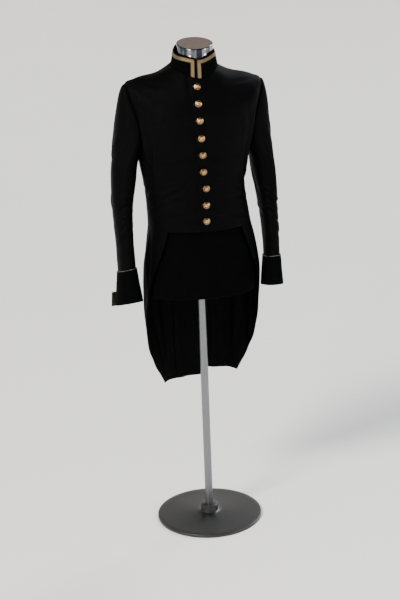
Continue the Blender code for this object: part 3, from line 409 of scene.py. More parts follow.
def rows_at(rows, level):
    """Every column of a table at these levels, on a smooth curve through its rows."""
    table = np.array(rows, dtype=float)
    level = np.asarray(level, dtype=float)
    last = len(table) - 2
    index = np.clip(np.searchsorted(table[:, 0], level, side="left") - 1, 0, last)
    before, low = table[np.maximum(index - 1, 0)], table[index]
    high, after = table[index + 1], table[np.minimum(index + 2, last + 1)]
    span = high[..., :1] - low[..., :1]
    start = (high - before) / (high[..., :1] - before[..., :1]) * span
    end = (after - low) / (after[..., :1] - low[..., :1]) * span
    weights = curve_weights((level[..., None] - low[..., :1]) / span)
    values = sum(weight * row for weight, row in zip(weights, (low, start, high, end)))
    return type(rows[0])(*np.moveaxis(values, -1, 0))


def wrapped(degrees):
    return (degrees + 180) % 360 - 180


# the coat's body

def tail_fold(angle, level):
    lift = np.zeros(np.broadcast(angle, level).shape)
    for fold in TAIL_FOLDS:
        grown = ease_in_out((fold.high - level) / (fold.high - fold.low))
        lift += fold.depth * grown * np.exp(-((wrapped(angle) - fold.angle) / fold.spread) ** 2)
    return np.where(level < WAIST_SEAM, lift, 0.0)


def ring_point(ring, angle, lift=0.0):
    """Points on rings, angle degrees from the centre front to the wearer's left."""
    turn = np.radians(angle)
    sine, cosine = np.sin(turn), np.cos(turn)
    swell = 1 + ring.fullness * np.sin(2 * turn) ** 2
    depth = np.where(cosine > 0, ring.front, ring.back)
    rise = ring.side_rise * sine ** 4 + np.where(cosine > 0, ring.front_rise * cosine ** 2, 0)
    across = (ring.half_width * swell + lift) * sine
    return np.stack([ring.shift + across, -(depth * swell + lift) * cosine,
                     ring.level + rise - ring.tilt * across], axis=-1)


def body_surface(angle, level):
    return ring_point(rows_at(BODY_RINGS, level), angle, tail_fold(angle, level))


def body_normal(angle, level):
    nudge, turn = 0.0005, 0.2
    up = body_surface(angle, level + nudge) - body_surface(angle, level - nudge)
    round_body = body_surface(angle + turn, level) - body_surface(angle - turn, level)
    return unit(np.cross(round_body, up))


def degrees_for(distance, angle, level):
    """The angle that a distance round the body takes up there."""
    turn = 0.5
    step = body_surface(angle + turn, level) - body_surface(angle - turn, level)
    return distance * 2 * turn / np.linalg.norm(step, axis=-1)


def armhole(turn, grow=0.0):
    """The angle and level of points on the left armhole; turn 0 is its top, 90 its front."""
    spread = ARMHOLE_SPREAD + degrees_for(grow, SIDE, ARMHOLE_LEVEL)
    angle = SIDE - spread * np.sin(np.radians(turn))
    return angle, ARMHOLE_LEVEL + (ARMHOLE_HALF + grow) * np.cos(np.radians(turn))


SEAM_DEGREES = float(degrees_for(HALF_SEAM, SIDE, ARMHOLE_LEVEL))
SIDE_SEAM, SIDE_SEAM_TOP = (float(value) for value in armhole(SIDE_SEAM_TURN))
BACK_SEAM_HEAD, BACK_SEAM_TOP = (float(value) for value in armhole(BACK_SEAM_TURN))


def back_seam(level):
    """The angle of the side-back seam, and below the waist of the pleat's edge."""
    down = (WAIST_SEAM - level) / (WAIST_SEAM - TAIL_HEM)
    skirt = mix(BACK_SEAM_FOOT, BACK_SKIRT_FOOT, ease_in_out(down))
    climbed = np.clip((level - WAIST_SEAM) / (BACK_SEAM_TOP - WAIST_SEAM), 0, None)
    return np.where(level < WAIST_SEAM, skirt,
                    mix(BACK_SEAM_FOOT, BACK_SEAM_HEAD, climbed ** BACK_SEAM_BEND))


def creased(table, across_a_degree, angle, level):
    """How far soft creases stand out or sink in, each with a low shoulder beside it and the
    cloth rolled up along one side."""
    lift = np.zeros(np.broadcast(angle, level).shape)
    for crease in map(Crease._make, table):
        across = wrapped(angle - crease.angle) * across_a_degree
        up = level - crease.level
        lean = math.radians(crease.lean)
        along = up * math.cos(lean) + across * math.sin(lean)
        off = across * math.cos(lean) - up * math.sin(lean) + crease.bend * along ** 2
        near = off / crease.width
        beside = near - math.copysign(ROLL_PLACE, crease.roll)
        lift += (crease.depth * np.exp(-(along / crease.reach) ** 2)
                 * (np.exp(-near ** 2) - SHOULDER * np.exp(-near ** 2 / SHOULDER_SPREAD)
                    - abs(crease.roll) * np.exp(-beside ** 2)))
    return lift


def uneven(angle, level):
    """The slight unevenness of cloth that hangs, three waves that cross each other."""
    turn = np.radians(angle)
    return UNEVEN * (np.sin(5 * turn + 31 * level) + np.sin(9 * turn - 47 * level + 1.3)
                     + 0.7 * np.sin(14 * turn + 73 * level + 0.4))


def body_relief(angle, level):
    """Creases and unevenness of the body, which never sink as deep as the form inside."""
    soft = ease_in_out((abs(wrapped(angle)) - FRONT_STIFF) / FRONT_SOFTENS)
    lift = (np.where(level > WAIST_SEAM, soft, 1)
            * creased(BODY_CREASES, METRES_A_DEGREE, angle, level))
    ring = rows_at(BODY_RINGS, level)
    room = CREASE_ROOM * mix(ring.ease, ring.side_ease, np.sin(np.radians(angle)) ** 2)
    return np.where(lift < 0, room * np.tanh(lift / room), lift) + uneven(angle, level)


# meshes

def in_scene(name, data):
    obj = bpy.data.objects.new(name, data)
    bpy.context.scene.collection.objects.link(obj)
    return obj


def dress(obj, node, slot, finish=None):
    """Gives a piece its finish and its body, and hides the CAD node it stands in for, if there is one.
    """
    obj.data.materials.append(FINISHES[finish or slot])
    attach(obj, "root")
    if node:
        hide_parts(node)


def mesh_piece(name, points, faces, places=None, marks=None):
    """A mesh that faces outwards, with its flat places as a UV map and marks on its points."""
    points = np.asarray(points, float)
    mesh = bpy.data.meshes.new(name)
    mesh.from_pydata(points.tolist(), [], faces)
    if places is not None:
        mesh.uv_layers.new(name="cut").data.foreach_set("uv", np.ravel(places))
    for mark, values in (marks or {}).items():
        mesh.attributes.new(mark, "FLOAT", "POINT").data.foreach_set("value", np.ravel(values))
    mesh.calc_loop_triangles()
    corners = np.empty(len(mesh.loop_triangles) * 3, np.int32)
    mesh.loop_triangles.foreach_get("vertices", corners)
    first, second, third = points[corners].reshape(-1, 3, 3).transpose(1, 0, 2)
    if np.sum(first * np.cross(second, third)) < 0:
        mesh.flip_normals()
    mesh.shade_smooth()
    mesh.set_sharp_from_angle(angle=SHARP)
    return in_scene(name, mesh)


def edge_marks(points, free=()):
    """For each corner of a grid: metres from the nearest edge, marks with the metres from the
    nearest free edge and along it, and its place on the flat cloth."""
    steps = np.linalg.norm(np.diff(points, axis=1), axis=-1)
    across = np.concatenate([np.zeros((len(points), 1)), np.cumsum(steps, axis=1)], axis=1)
    steps = np.linalg.norm(np.diff(points, axis=0), axis=-1)
    along = np.concatenate([np.zeros((1, points.shape[1])), np.cumsum(steps, axis=0)], axis=0)
    away = {"start": across, "end": across[:, -1:] - across, "foot": along,
            "top": along[-1:] - along}
    stitched, run = np.full(across.shape, FAR), along
    for side in free:
        closer = away[side] < stitched
        run = np.where(closer, along if side in ("start", "end") else across, run)
        stitched = np.where(closer, away[side], stitched)
    nearest = np.minimum.reduce(list(away.values()))
    return nearest, {"stitched": stitched, "run": run}, (across, along)


def rounded(nearest):
    """How far an edge rounds down, at distances from it."""
    return SEAM_DIP * np.exp(-(nearest / SEAM_DIP_WIDTH) ** 2)


def raised(base, normal, lift):
    return base + normal * np.asarray(lift)[..., None]


def shell(name, node, slot, outer, inner, place, marks=None, closed=False, keep=None, finish=None):
    """A closed thin wall between two grids of points. place is each corner's place on the flat
    cloth, across and along; keep says which cells of the grid there are."""
    rows, columns = outer.shape[:2]
    if keep is None:
        keep = np.ones((rows - 1, columns if closed else columns - 1), bool)
    row, column = np.nonzero(keep)
    after = (column + 1) % columns
    corners = np.stack([row * columns + column, row * columns + after,
                        (row + 1) * columns + after, (row + 1) * columns + column], axis=-1)
    place = np.stack(place, axis=-1)
    flat = np.stack([place[row, column], place[row, column + 1],
                     place[row + 1, column + 1], place[row + 1, column]], axis=1)
    around = np.pad(keep, 1)
    if closed:
        around[1:-1, 0], around[1:-1, -1] = keep[:, -1], keep[:, 0]
    count = rows * columns
    faces = [corners, corners[:, ::-1] + count]
    flats = [flat, flat[:, ::-1]]
    for edge, (up, over) in enumerate(((-1, 0), (0, 1), (1, 0), (0, -1))):
        bare = ~around[row + 1 + up, column + 1 + over]
        first, second = corners[bare, edge], corners[bare, (edge + 1) % 4]
        faces.append(np.stack([second, first, first + count, second + count], axis=-1))
        start, end = flat[bare, edge], flat[bare, (edge + 1) % 4]
        flats.append(np.stack([end, start, start, end], axis=1))
    used, faces = np.unique(np.concatenate(faces), return_inverse=True)
    points = np.concatenate([outer.reshape(-1, 3), inner.reshape(-1, 3)])[used]
    both = {mark: np.tile(np.ravel(values), 2)[used] for mark, values in (marks or {}).items()}
    faces = faces.reshape(-1, 4).tolist()
    dress(mesh_piece(name, points, faces, np.concatenate(flats), both), node, slot, finish)


def wool(kind, side, outer, inner, place, marks):
    shell(f"{kind}_{side}_cloth", f"{kind}_{side}", "black_broadcloth", outer, inner, place, marks)


def wool_over(kind, side, base, normal, relief, free=()):
    """A wall of broadcloth over a grid of points, moved out along its normals by the relief."""
    nearest, marks, place = edge_marks(base, free)
    wool(kind, side, raised(base, normal, relief - rounded(nearest)),
         raised(base, normal, relief - WALL), place, marks)


def quads(low, high, sides):
    """The faces between two rings of points, either of which may be a single point."""
    faces = []
    for step in range(sides):
        after = step + 1
        corners = (low[step % len(low)], low[after % len(low)],
                   high[after % len(high)], high[step % len(high)])
        faces.append(list(dict.fromkeys(corners)))
    return faces


def turned(name, profile, sides, centre=(0, 0, 0), axes=Matrix.Identity(3), lift=None):
    """A profile of (radius, height) turned round the third of the axes. lift(radius, angle)
    adds height above a shank. Returns the piece and the profile step of each face."""
    points, rings = [], []
    for radius, height in profile:
        steps = 1 if radius == 0 else sides
        rings.append(range(len(points), len(points) + steps))
        for step in range(steps):
            angle = 2 * math.pi * step / sides
            rise = lift(radius, angle) if lift and height > SHANK_HEIGHT * 1.5 else 0.0
            local = Vector((radius * math.cos(angle), radius * math.sin(angle), height + rise))
            points.append(Vector(centre) + axes @ local)
    faces = [quads(low, high, sides) for low, high in zip(rings, rings[1:])]
    steps = [number for number, some in enumerate(faces) for _ in some]
    return mesh_piece(name, points, sum(faces, [])), steps


def tube(name, path, radius, sides=8):
    """A thin round cord along a closed path."""
    ahead = unit(np.roll(path, -1, axis=0) - np.roll(path, 1, axis=0))
    aside = unit(np.cross(ahead, path - path.mean(axis=0)))
    up = np.cross(aside, ahead)
    angles = np.linspace(0, 2 * np.pi, sides, endpoint=False)[:, None]
    ring = np.cos(angles) * aside[:, None] + np.sin(angles) * up[:, None]
    points = (path[:, None] + ring * radius).reshape(-1, 3)
    rings = np.arange(len(points)).reshape(-1, sides).tolist()
    faces = [quads(low, high, sides) for low, high in zip(rings, rings[1:] + rings[:1])]
    return mesh_piece(name, points, sum(faces, []))


def spaced(length, step=CLOTH_STEP):
    """Distances along a length, a step apart and closer near both ends."""
    edge = NEAR_EDGE[-1]
    count = max(int(round((length - 2 * edge) / step)), 1)
    middle = np.linspace(edge, length - edge, count + 1)
    return np.concatenate([NEAR_EDGE[:-1], middle, length - np.array(NEAR_EDGE[:-1])[::-1]])


def half_spaced(count, length):
    """Shares of a length: even, and closer near its far end."""
    even = np.linspace(0, 1 - NEAR_EDGE[-1] / length, count)
    return np.concatenate([even, 1 - np.array(NEAR_EDGE[:-1])[::-1] / length])


# panels of the body, as grids of angles, levels and lifts

Lap = namedtuple("Lap", "flat ramp steps shares")
LAPS = {
    "front": Lap(LAP_OVER + LAP_UNDER + TUCK, FRONT_RAMP, 9, half_spaced(46, 0.16)),
    "back": Lap(VENT_LAP + TUCK, BACK_RAMP, 7, half_spaced(34, 0.12)),
}


def lapped_row(kind, side, edge, middle, half_width, sunk, outer_edge):
    """A row of a front or a back, as angles and lifts: across its lap, up the ramp, and on to
    its outer edge."""
    sign, lap = SIGN[side], LAPS[kind]
    distances = np.concatenate([NEAR_EDGE, np.arange(0.008, lap.flat, 0.006),
                                lap.flat + lap.ramp * np.linspace(0, 1, lap.steps)])
    across = np.degrees(np.arcsin((edge + sign * distances - middle) / half_width))
    angles = across if kind == "front" else sign * CENTRE_BACK - across
    lifts = -LAYER_STEP * sunk * (1 - ease_in_out((distances - lap.flat) / lap.ramp))
    more = mix(angles[-1], sign * outer_edge, lap.shares[1:])
    return np.concatenate([angles, more]), np.concatenate([lifts, 0 * more])


def front_row(side, level, outer_edge):
    ring = rows_at(BODY_RINGS, level)
    down = (LINE_TOP - (ring.level + ring.front_rise)) / (LINE_TOP - LINE_FOOT)
    line = mix(LINE_X_TOP, LINE_X_FOOT, down)
    edge = line - LAP_OVER if side == "left" else line + LAP_UNDER
    return lapped_row("front", side, edge, ring.shift, ring.half_width, side == "right",
                      outer_edge)


def back_row(side, level, outer_edge):
    ring = rows_at(BODY_RINGS, level)
    lapped = ease_in_out((VENT_TOP - level) / VENT_CORNER) * VENT_LAP / 2
    sunk = ease_in_out((WAIST_SEAM + VENT_FADE - level) / VENT_FADE) * (side == "right")
    return lapped_row("back", side, SIGN[side] * (HALF_SEAM - lapped), 0.0, ring.half_width,
                      sunk, outer_edge)


def make_panel(kind, side, row_of, below, seam, turns, free):
    """A front or a back: rows below the armhole, round it, and over the shoulder. seam is the
    angle of its outer seam at each level below."""
    trim = SEAM_DEGREES if kind == "back" else -SEAM_DEGREES
    spots = list(zip(below, seam + trim))
    for turn in turns:
        angle, level = armhole(turn, HALF_SEAM)
        spots.append((float(level), angle + (trim if turn == turns[-1] else 0)))
    start = float(armhole(0, HALF_SEAM)[1])
    spots += [(level, SIDE + trim) for level in start + spaced(NECK_SEAM - start, 0.005)[4:]]
    angles, lifts = np.array([row_of(side, *spot) for spot in spots]).transpose(1, 0, 2)
    levels = np.repeat([[level] for level, _ in spots], angles.shape[1], axis=1)
    wool_over(kind, side, body_surface(angles, levels), body_normal(angles, levels),
              lifts + body_relief(angles, levels), free)


def make_front(side):
    foot = WAIST_SEAM + HALF_SEAM
    below = foot + spaced(SIDE_SEAM_TOP - foot)[:-5]
    turns = np.concatenate([np.arange(SIDE_SEAM_TURN, 30, -3), NEAR_TOP])
    make_panel("front", side, front_row, below, SIDE_SEAM + 0 * below, turns, ("start", "foot"))


def make_back(side):
    """The back, cut in one with its back skirt down to the tail's hem."""
    hem = TAIL_HEM - TAIL_DROP[side]
    below = np.concatenate([hem + spaced(WAIST_SEAM - hem)[:-5],
                            np.arange(WAIST_SEAM - 0.003, BACK_SEAM_TOP - 0.003, 0.005)])
    turns = np.concatenate([np.arange(BACK_SEAM_TURN, 330, 3), 360 - NEAR_TOP])
    make_panel("back", side, back_row, below, back_seam(below), turns, ("foot",))


def make_side_body(side):
    ends = np.array([0.0, 0.8, 1.8, 3.0, 4.5])
    foot = WAIST_SEAM + HALF_SEAM
    rise = spaced(SIDE_BODY_LENGTH) / SIDE_BODY_LENGTH
    spots = []
    for turn in (*(SIDE_SEAM_TURN + ends), *range(SIDE_SEAM_TURN + 7, BACK_SEAM_TURN - 7, 3),
                 *(BACK_SEAM_TURN - ends[::-1])):
        angle, top = armhole(turn)
        share = (angle - SIDE_SEAM) / (back_seam(top) - SIDE_SEAM)
        lowered = 0 if turn in (SIDE_SEAM_TURN, BACK_SEAM_TURN) else HALF_SEAM
        levels = foot + rise * (top - lowered - foot)
        trim = SEAM_DEGREES * (1 - 2 * share)
        spots.append((SIGN[side] * (mix(SIDE_SEAM, back_seam(levels), share) + trim), levels))
    angles, levels = np.array(spots).transpose(1, 2, 0)
    wool_over("side_body", side, body_surface(angles, levels), body_normal(angles, levels),
              body_relief(angles, levels))


def pleat_path(level):
    """The fold under the back skirt, as distances past its edge and depths: first of the
    cloth's outer side, then of its inner side."""
    tucked = mix(PLEAT_TOP_DEPTH, PLEAT_FOOT_DEPTH, (WAIST_SEAM - level) / (WAIST_SEAM - TAIL_HEM))
    inside, outside = PLEAT_GAP / 2, WALL + PLEAT_GAP / 2
    middle = -PLEAT_STEP - outside
    under = np.linspace(-TUCK, tucked, 9)
    turn = np.radians(np.linspace(0, 180, 9)[1:])
    returned = tucked * (1 - np.linspace(0, 1, 6)[1:] * PLEAT_RETURN)
    for away, depth in ((outside, -PLEAT_STEP), (inside, -PLEAT_STEP - WALL)):
        yield (np.concatenate([under, tucked + away * np.sin(turn), returned]),
               np.concatenate([0 * under + depth, middle + away * np.cos(turn),
                               0 * returned + middle - away]))


def make_skirt(side):
    """The side skirt, from the tail's front edge to the pleat under the back skirt."""
    hem = TAIL_HEM - TAIL_DROP[side]
    climb = np.linspace(0, 1, 9)[1:-1]
    rows = []
    for level in hem + spaced(WAIST_SEAM - SEAM - hem):
        down = (WAIST_SEAM - level) / (WAIST_SEAM - TAIL_HEM)
        start = mix(TAIL_FRONT_TOP, TAIL_FRONT_FOOT, np.clip(down, 0, None) ** TAIL_FRONT_SWEEP)
        edge = back_seam(level)
        reach = degrees_for(TUCK + PLEAT_RAMP, edge, level)
        end = edge - reach
        width = (end - start) / degrees_for(1.0, (start + end) / 2, level)
        shares = np.concatenate([np.array(NEAR_EDGE[:-1]) / width,
                                 np.linspace(NEAR_EDGE[-1] / width, 1, 52)])
        ramp = end + climb * (reach - degrees_for(TUCK, edge, level))
        lifts = np.concatenate([0 * shares, -PLEAT_STEP * ease_in_out(climb)])
        row = []
        for wall, (distances, depths) in zip((0.0, WALL), pleat_path(level)):
            angles = np.concatenate([mix(start, end, shares), ramp,
                                     edge + degrees_for(distances, edge, level)])
            row += [angles * SIGN[side], np.concatenate([lifts - wall, depths]),
                    np.full(len(angles), level)]
        rows.append(row)
    grids = np.array(rows).transpose(1, 0, 2)
    outer, inner = (raised(body_surface(angles, levels), body_normal(angles, levels),
                           depths + body_relief(angles, levels))
                    for angles, depths, levels in (grids[:3], grids[3:]))
    nearest, marks, place = edge_marks(outer, ("start", "foot"))
    dip = rounded(nearest) * (grids[1] > -PLEAT_STEP * 0.9)
    wool("skirt", side, raised(outer, body_normal(grids[0], grids[2]), -dip), inner, place, marks)


# sleeves and cuffs

def arm_frame(side, level):
    """Centre, outward, forward and downward axes and half sizes of arm sections."""
    level = np.asarray(level, float)

    def centre(height):
        arm = rows_at(ARMS, height)
        return np.stack([SIGN[side] * getattr(arm, "out_" + side),
                         -getattr(arm, "forward_" + side), height], axis=-1)

    nudge = 0.004
    level_in = np.clip(level, ARMS[0].level + nudge, ARMS[-1].level - nudge)
    down = unit(centre(level_in - nudge) - centre(level_in + nudge))
    outward, forward = (unit(axis - down * (down @ axis)[..., None])
                        for axis in (np.array([SIGN[side], 0.0, 0.0]), np.array([0.0, -1.0, 0.0])))
    arm = rows_at(ARMS, level)
    return centre(level), outward, forward, down, getattr(arm, "half_" + side), arm.half_depth


def arm_point(side, turn, level, grow=0.0):
    centre, outward, forward, _, half, depth = arm_frame(side, level)
    radians = np.radians(turn)
    swell = 1 + ARM_FULLNESS * np.sin(2 * radians) ** 2
    across = (half * swell + grow) * np.cos(radians)
    ahead = (depth * swell + grow) * np.sin(radians)
    return centre + outward * across[..., None] + forward * ahead[..., None]


def sleeve_surface(side, turn, along):
    """along runs from 0 at the armhole to 1 at the biceps and 2 at the sleeve's foot."""
    sign, radians = SIGN[side], np.radians(turn)
    foot = CUFF_TOP[side] - SLEEVE_OVERLAP
    arm = arm_point(side, turn, mix(BICEPS, foot, np.clip(along - 1, 0, 1)))
    angle, level = armhole(turn)
    leave = unit(np.stack([np.full(turn.shape, float(sign)), -SLEEVE_HEAD_SPREAD * np.sin(radians),
                           np.full(turn.shape, -SLEEVE_HEAD_DROP)], axis=-1))
    edge = sign * angle
    start = raised(body_surface(edge, level) + leave * SEAM, body_normal(edge, level),
                   body_relief(edge, level))
    end = arm_point(side, turn, np.full(turn.shape, BICEPS))
    down = arm_frame(side, BICEPS)[3]
    length = np.linalg.norm(end - start, axis=-1, keepdims=True)
    at_start, leaving, at_end, arriving = curve_weights(np.clip(along, 0, 1)[..., None])
    head = (start * at_start + end * at_end + leave * length * SLEEVE_HEAD_REACH * leaving
            + down * length * SLEEVE_HEAD_FALL * arriving)
    return np.where((along < 1)[..., None], head, arm)


def gathered(turn, along):
    """The small fullness of the sleeve's head, eased in over the top of the armhole."""
    top = np.exp(-(wrapped(turn) / 62) ** 2)
    ripple = np.sin(np.radians(wrapped(turn)) * 13 + 1.4 * np.sin(np.radians(turn) * 3))
    return GATHER * top * ripple * np.exp(-((along - 0.07) / 0.10) ** 2)


def make_sleeve(kind, side, start, end):
    """A sleeve piece between two seams, start and end degrees round the arm."""
    trim = math.degrees(HALF_SEAM / ARMS[0].half_depth)
    width = math.radians(end - start) * ARM_RADIUS
    turns = start + trim + spaced(width, 0.0035) / width * (end - start - 2 * trim)
    head = spaced(HEAD_LENGTH, 0.005)[:-5] / HEAD_LENGTH
    rest = 1 + spaced(SLEEVE_LENGTH, 0.0055)[4:] / SLEEVE_LENGTH
    turn, along = np.meshgrid(turns, np.concatenate([head, rest]))
    base = sleeve_surface(side, turn, along)
    height = base[..., 2]
    nudge, step = 0.004, 1.0
    down = (sleeve_surface(side, turn, np.minimum(along + nudge, 2))
            - sleeve_surface(side, turn, np.maximum(along - nudge, 0)))
    round_arm = sleeve_surface(side, turn + step, along) - sleeve_surface(side, turn - step, along)
    fade = (ease_in_out((height - CUFF_TOP[side] - CUFF_CLEAR) / CUFF_FADE)
            * ease_in_out(along / HEAD_SMOOTH))
    relief = fade * (creased(SLEEVE_CREASES[side], METRES_A_TURN, turn, height)
                     + uneven(turn * 0.4, height)) + gathered(turn, along)
    wool_over(kind, side, base, unit(np.cross(round_arm, down)) * SIGN[side], relief)


def cuff_point(side, turn, down, lift):
    """Points of the cuff's outer surface, down from its top edge, moved out by lift."""
    grow = CUFF_ROOM + VELVET_WALL + CUFF_FLARE[side] * down / CUFF_DEPTH[side]
    slant = CUFF_SLANT[side] * np.cos(np.radians(turn))
    return arm_point(side, turn, CUFF_TOP[side] - down - slant, grow + lift)


def ring_place(points):
    """Flat places of a closed ring grid, with the joining column again at the end."""
    return edge_marks(np.concatenate([points, points[:, :1]], axis=1))[2]


def make_cuff(side):
    deep = CUFF_DEPTH[side]
    turn, down = np.meshgrid(np.arange(0, 360, 3.0), spaced(deep, 0.005))
    dip = rounded(np.minimum(down, deep - down))
    soft = CUFF_SWELL * np.sin(np.radians(turn) * 3 + 60 * down) * np.sin(np.pi * down / deep)
    shell(f"cuff_{side}_velvet", f"cuff_{side}", "black_velvet",
          cuff_point(side, turn, down, soft - dip),
          cuff_point(side, turn, down, 0.2 * dip - VELVET_WALL),
          ring_place(cuff_point(side, turn, down, 0.0)), closed=True)


def make_cuff_braid(side):
    """The gold line round the cuff's top edge, rounded over like a cord laid flat."""
    turn, across = np.meshgrid(np.arange(0, 360, 2.0), np.linspace(0, 1, 9))
    down = EDGE_INSET + CUFF_BRAID_WIDTH * across
    crown = BRAID * (0.35 + 0.65 * np.sin(np.pi * across) ** 0.6)
    outer = cuff_point(side, turn, down, SEAM + crown)
    shell(f"cuff_braid_{side}", f"cuff_lace_{side}", "gold_lace", outer,
          cuff_point(side, turn, down, SEAM), ring_place(outer), closed=True,
          finish="plaited_braid")


def make_tab():
    """The under-lap of the right cuff's vent, which springs out past the cuff."""
    side = "right"
    down = CUFF_DEPTH[side] - TAB_LOW - TAB_HEIGHT + spaced(TAB_HEIGHT, 0.003)
    turn = np.full(down.shape, float(TAB_TURN))
    root = cuff_point(side, turn, down, 0.0)
    along = unit(cuff_point(side, turn + 1, down, 0.0) - cuff_point(side, turn - 1, down, 0.0))
    up = unit(cuff_point(side, turn, down - EDGE_INSET, 0.0) - root)
    normal = (unit(np.cross(up, along)) * SIGN[side])[:, None]
    share = (spaced(TAB_WIDTH, 0.003) / TAB_WIDTH)[None, :, None]
    inner = (root[:, None] + along[:, None] * TAB_WIDTH * share
             + normal * (TAB_LIFT * share ** 2 + SEAM))
    nearest, marks, place = edge_marks(inner, ("end", "foot", "top"))
    shell("cuff_tab_lining", "cuff_tab_right", "grey_lining",
          raised(inner, normal, WALL - 0.6 * rounded(nearest)), inner, place, marks)


# collar

def collar_angles(side, distances, count):
    """Angles of the collar's columns: at distances from its opening, then round to the back."""
    ring = rows_at(BODY_RINGS, NECK_SEAM)
    x = COLLAR_OPENING_X + SIGN[side] * np.asarray(distances) - ring.shift
    angles = np.degrees(np.arcsin(x / ring.half_width))
    back = np.linspace(angles[-1], SIGN[side] * CENTRE_BACK, count + 1)
    return np.concatenate([angles, back[1:]])


def collar_parts(angle):
    """The collar's foot and top points at these angles, and the way out."""
    base = rows_at(BODY_RINGS, NECK_SEAM)
    low = ring_point(base, angle) + np.array([0, 0, COLLAR_SEAM])
    radians = np.radians(angle)
    bend = np.where(np.sin(radians) > 0, COLLAR_DIP_BEND["left"], COLLAR_DIP_BEND["right"])
    dip = COLLAR_DIP * np.clip(np.cos(radians), 0, None) ** bend
    high = ring_point(COLLAR_TOP, angle) - np.stack([0 * dip, 0 * dip, dip], axis=-1)
    turn = 0.5
    round_neck = ring_point(base, angle + turn) - ring_point(base, angle - turn)
    return low, high, unit(np.cross(round_neck, high - low))


def make_collar():
    near = COLLAR_OPENING_HALF + np.array([0, 0.0006, 0.0013, 0.0022, 0.004, 0.007])
    left, right = (collar_angles(side, near, 64) for side in SIGN)
    angles = np.concatenate([left, 360 + right[-2::-1]])
    low, high, normal = collar_parts(angles)
    shares = (spaced(COLLAR_HEIGHT, 0.004) / COLLAR_HEIGHT)[:, None, None]
    base = mix(low, high, shares)
    nearest, _, place = edge_marks(base)
    soft = COLLAR_SWELL * np.sin(np.radians(angles) * 5 + 2) * np.sin(np.pi * shares[..., 0])
    shell("collar_velvet", "collar", "black_velvet",
          raised(base, normal, soft - rounded(nearest)),
          raised(base, normal, soft - VELVET_WALL + 0.3 * rounded(nearest)), place)


def make_collar_lace(side):
    """Gold lace down the collar's front edge and round its top, mitred at the corner."""
    strip = np.linspace(0, LACE_WIDTH, 14)
    angles = collar_angles(side, LACE_FRONT_INSET + strip, 96)
    angles[-1] -= SIGN[side] * math.degrees(HALF_SEAM / COLLAR_TOP.back)
    low, high, normal = collar_parts(angles)
    height = np.linalg.norm(high - low, axis=-1)
    under = height - LACE_TOP_INSET - LACE_WIDTH - LACE_FOOT_INSET
    band = height - (LACE_TOP_INSET + LACE_WIDTH - strip)[:, None]
    upright = LACE_FOOT_INSET + under * np.linspace(0, 1, LACE_ROWS + 1)[:-1, None]
    rise = np.concatenate([upright, band])
    base = mix(low, high, (rise / height)[..., None])
    from_top = height - LACE_TOP_INSET - rise
    steps = np.linalg.norm(np.diff(base, axis=1), axis=-1)
    from_front = np.concatenate([np.zeros((len(base), 1)), np.cumsum(steps, axis=1)], axis=1)
    across = np.minimum(from_top, from_front)
    along = np.where(from_top < from_front, from_front, from_top)
    nearest = np.minimum(across, LACE_WIDTH - across)
    selvedge = 0.55 + 0.45 * np.exp(-((nearest - 0.0011) / 0.0008) ** 2)
    crown = BRAID * selvedge * np.clip(nearest / 0.0004, 0.45, 1)
    keep = np.zeros((len(rise) - 1, len(angles) - 1), bool)
    keep[:, :len(strip) - 1] = True
    keep[LACE_ROWS:] = True
    shell(f"collar_lace_{side}_woven", f"collar_lace_{side}", "gold_lace",
          raised(base, normal, SEAM + crown), base + normal * SEAM, (across, along),
          {"mitre": np.abs(from_top - from_front)}, keep=keep)


# buttons and buttonholes

def button_face(radius, angle):
    """A rope round the rim and a plain rosette of eight petals."""
    share = radius / BUTTON_RADIUS
    strands = 0.55 + 0.45 * math.sin(26 * angle + 40 * share)
    rope = math.exp(-((share - 0.86) / 0.07) ** 2) * strands
    leaf = math.exp(-((share - 0.30) / 0.15) ** 2) * abs(math.cos(4 * angle)) ** 0.6
    heart = math.exp(-(share / 0.10) ** 2)
    return 0.00035 * rope + 0.00075 * leaf + HEART_HEIGHT * heart


def make_button(name, angle, level):
    normal = body_normal(angle, level)
    seat = body_surface(angle, level) + normal * BUTTON_SEAT
    painted_rim_shadow, high = BUTTON_RADIUS, BUTTON_HEIGHT - HEART_HEIGHT
    profile = [(0, 0), (SHANK_RADIUS, 0), (SHANK_RADIUS, SHANK_HEIGHT), (painted_rim_shadow * 0.5, SHANK_HEIGHT),
               (painted_rim_shadow * 0.86, SHANK_HEIGHT + 0.0004), (painted_rim_shadow * 0.97, high * 0.32), (painted_rim_shadow, high * 0.40),
               (painted_rim_shadow * 0.99, high * 0.47)]
    for share in 0.96 * (1 - np.arange(26) / 25):
        profile.append((painted_rim_shadow * share, high * (0.52 + 0.48 * (1 - (share / 0.98) ** 2.2))))
    axes = Vector((0, 0, 1)).rotation_difference(Vector(normal)).to_matrix()
    obj, _ = turned(name + "_struck", profile, 78, seat, axes, button_face)
    places = np.empty(len(obj.data.vertices) * 3)
    obj.data.vertices.foreach_get("co", places)
    off = (places.reshape(-1, 3) - seat) @ np.array(axes)
    radii, angles = np.hypot(off[:, 0], off[:, 1]), np.arctan2(off[:, 1], off[:, 0])
    height = [button_face(*spot) / HEART_HEIGHT for spot in zip(radii, angles)]
    for mark, values in (("out", radii / BUTTON_RADIUS), ("raised", height)):
        obj.data.attributes.new(mark, "FLOAT", "POINT").data.foreach_set("value", values)
    dress(obj, name, "gilt_brass")


def front_level(height):
    """The level whose ring is at this height at the centre front."""
    low, high = WAIST_SEAM, NECK_SEAM
    for _ in range(40):
        middle = (low + high) / 2
        ring = rows_at(BODY_RINGS, middle)
        low, high = (middle, high) if ring.level + ring.front_rise < height else (low, middle)
    return low


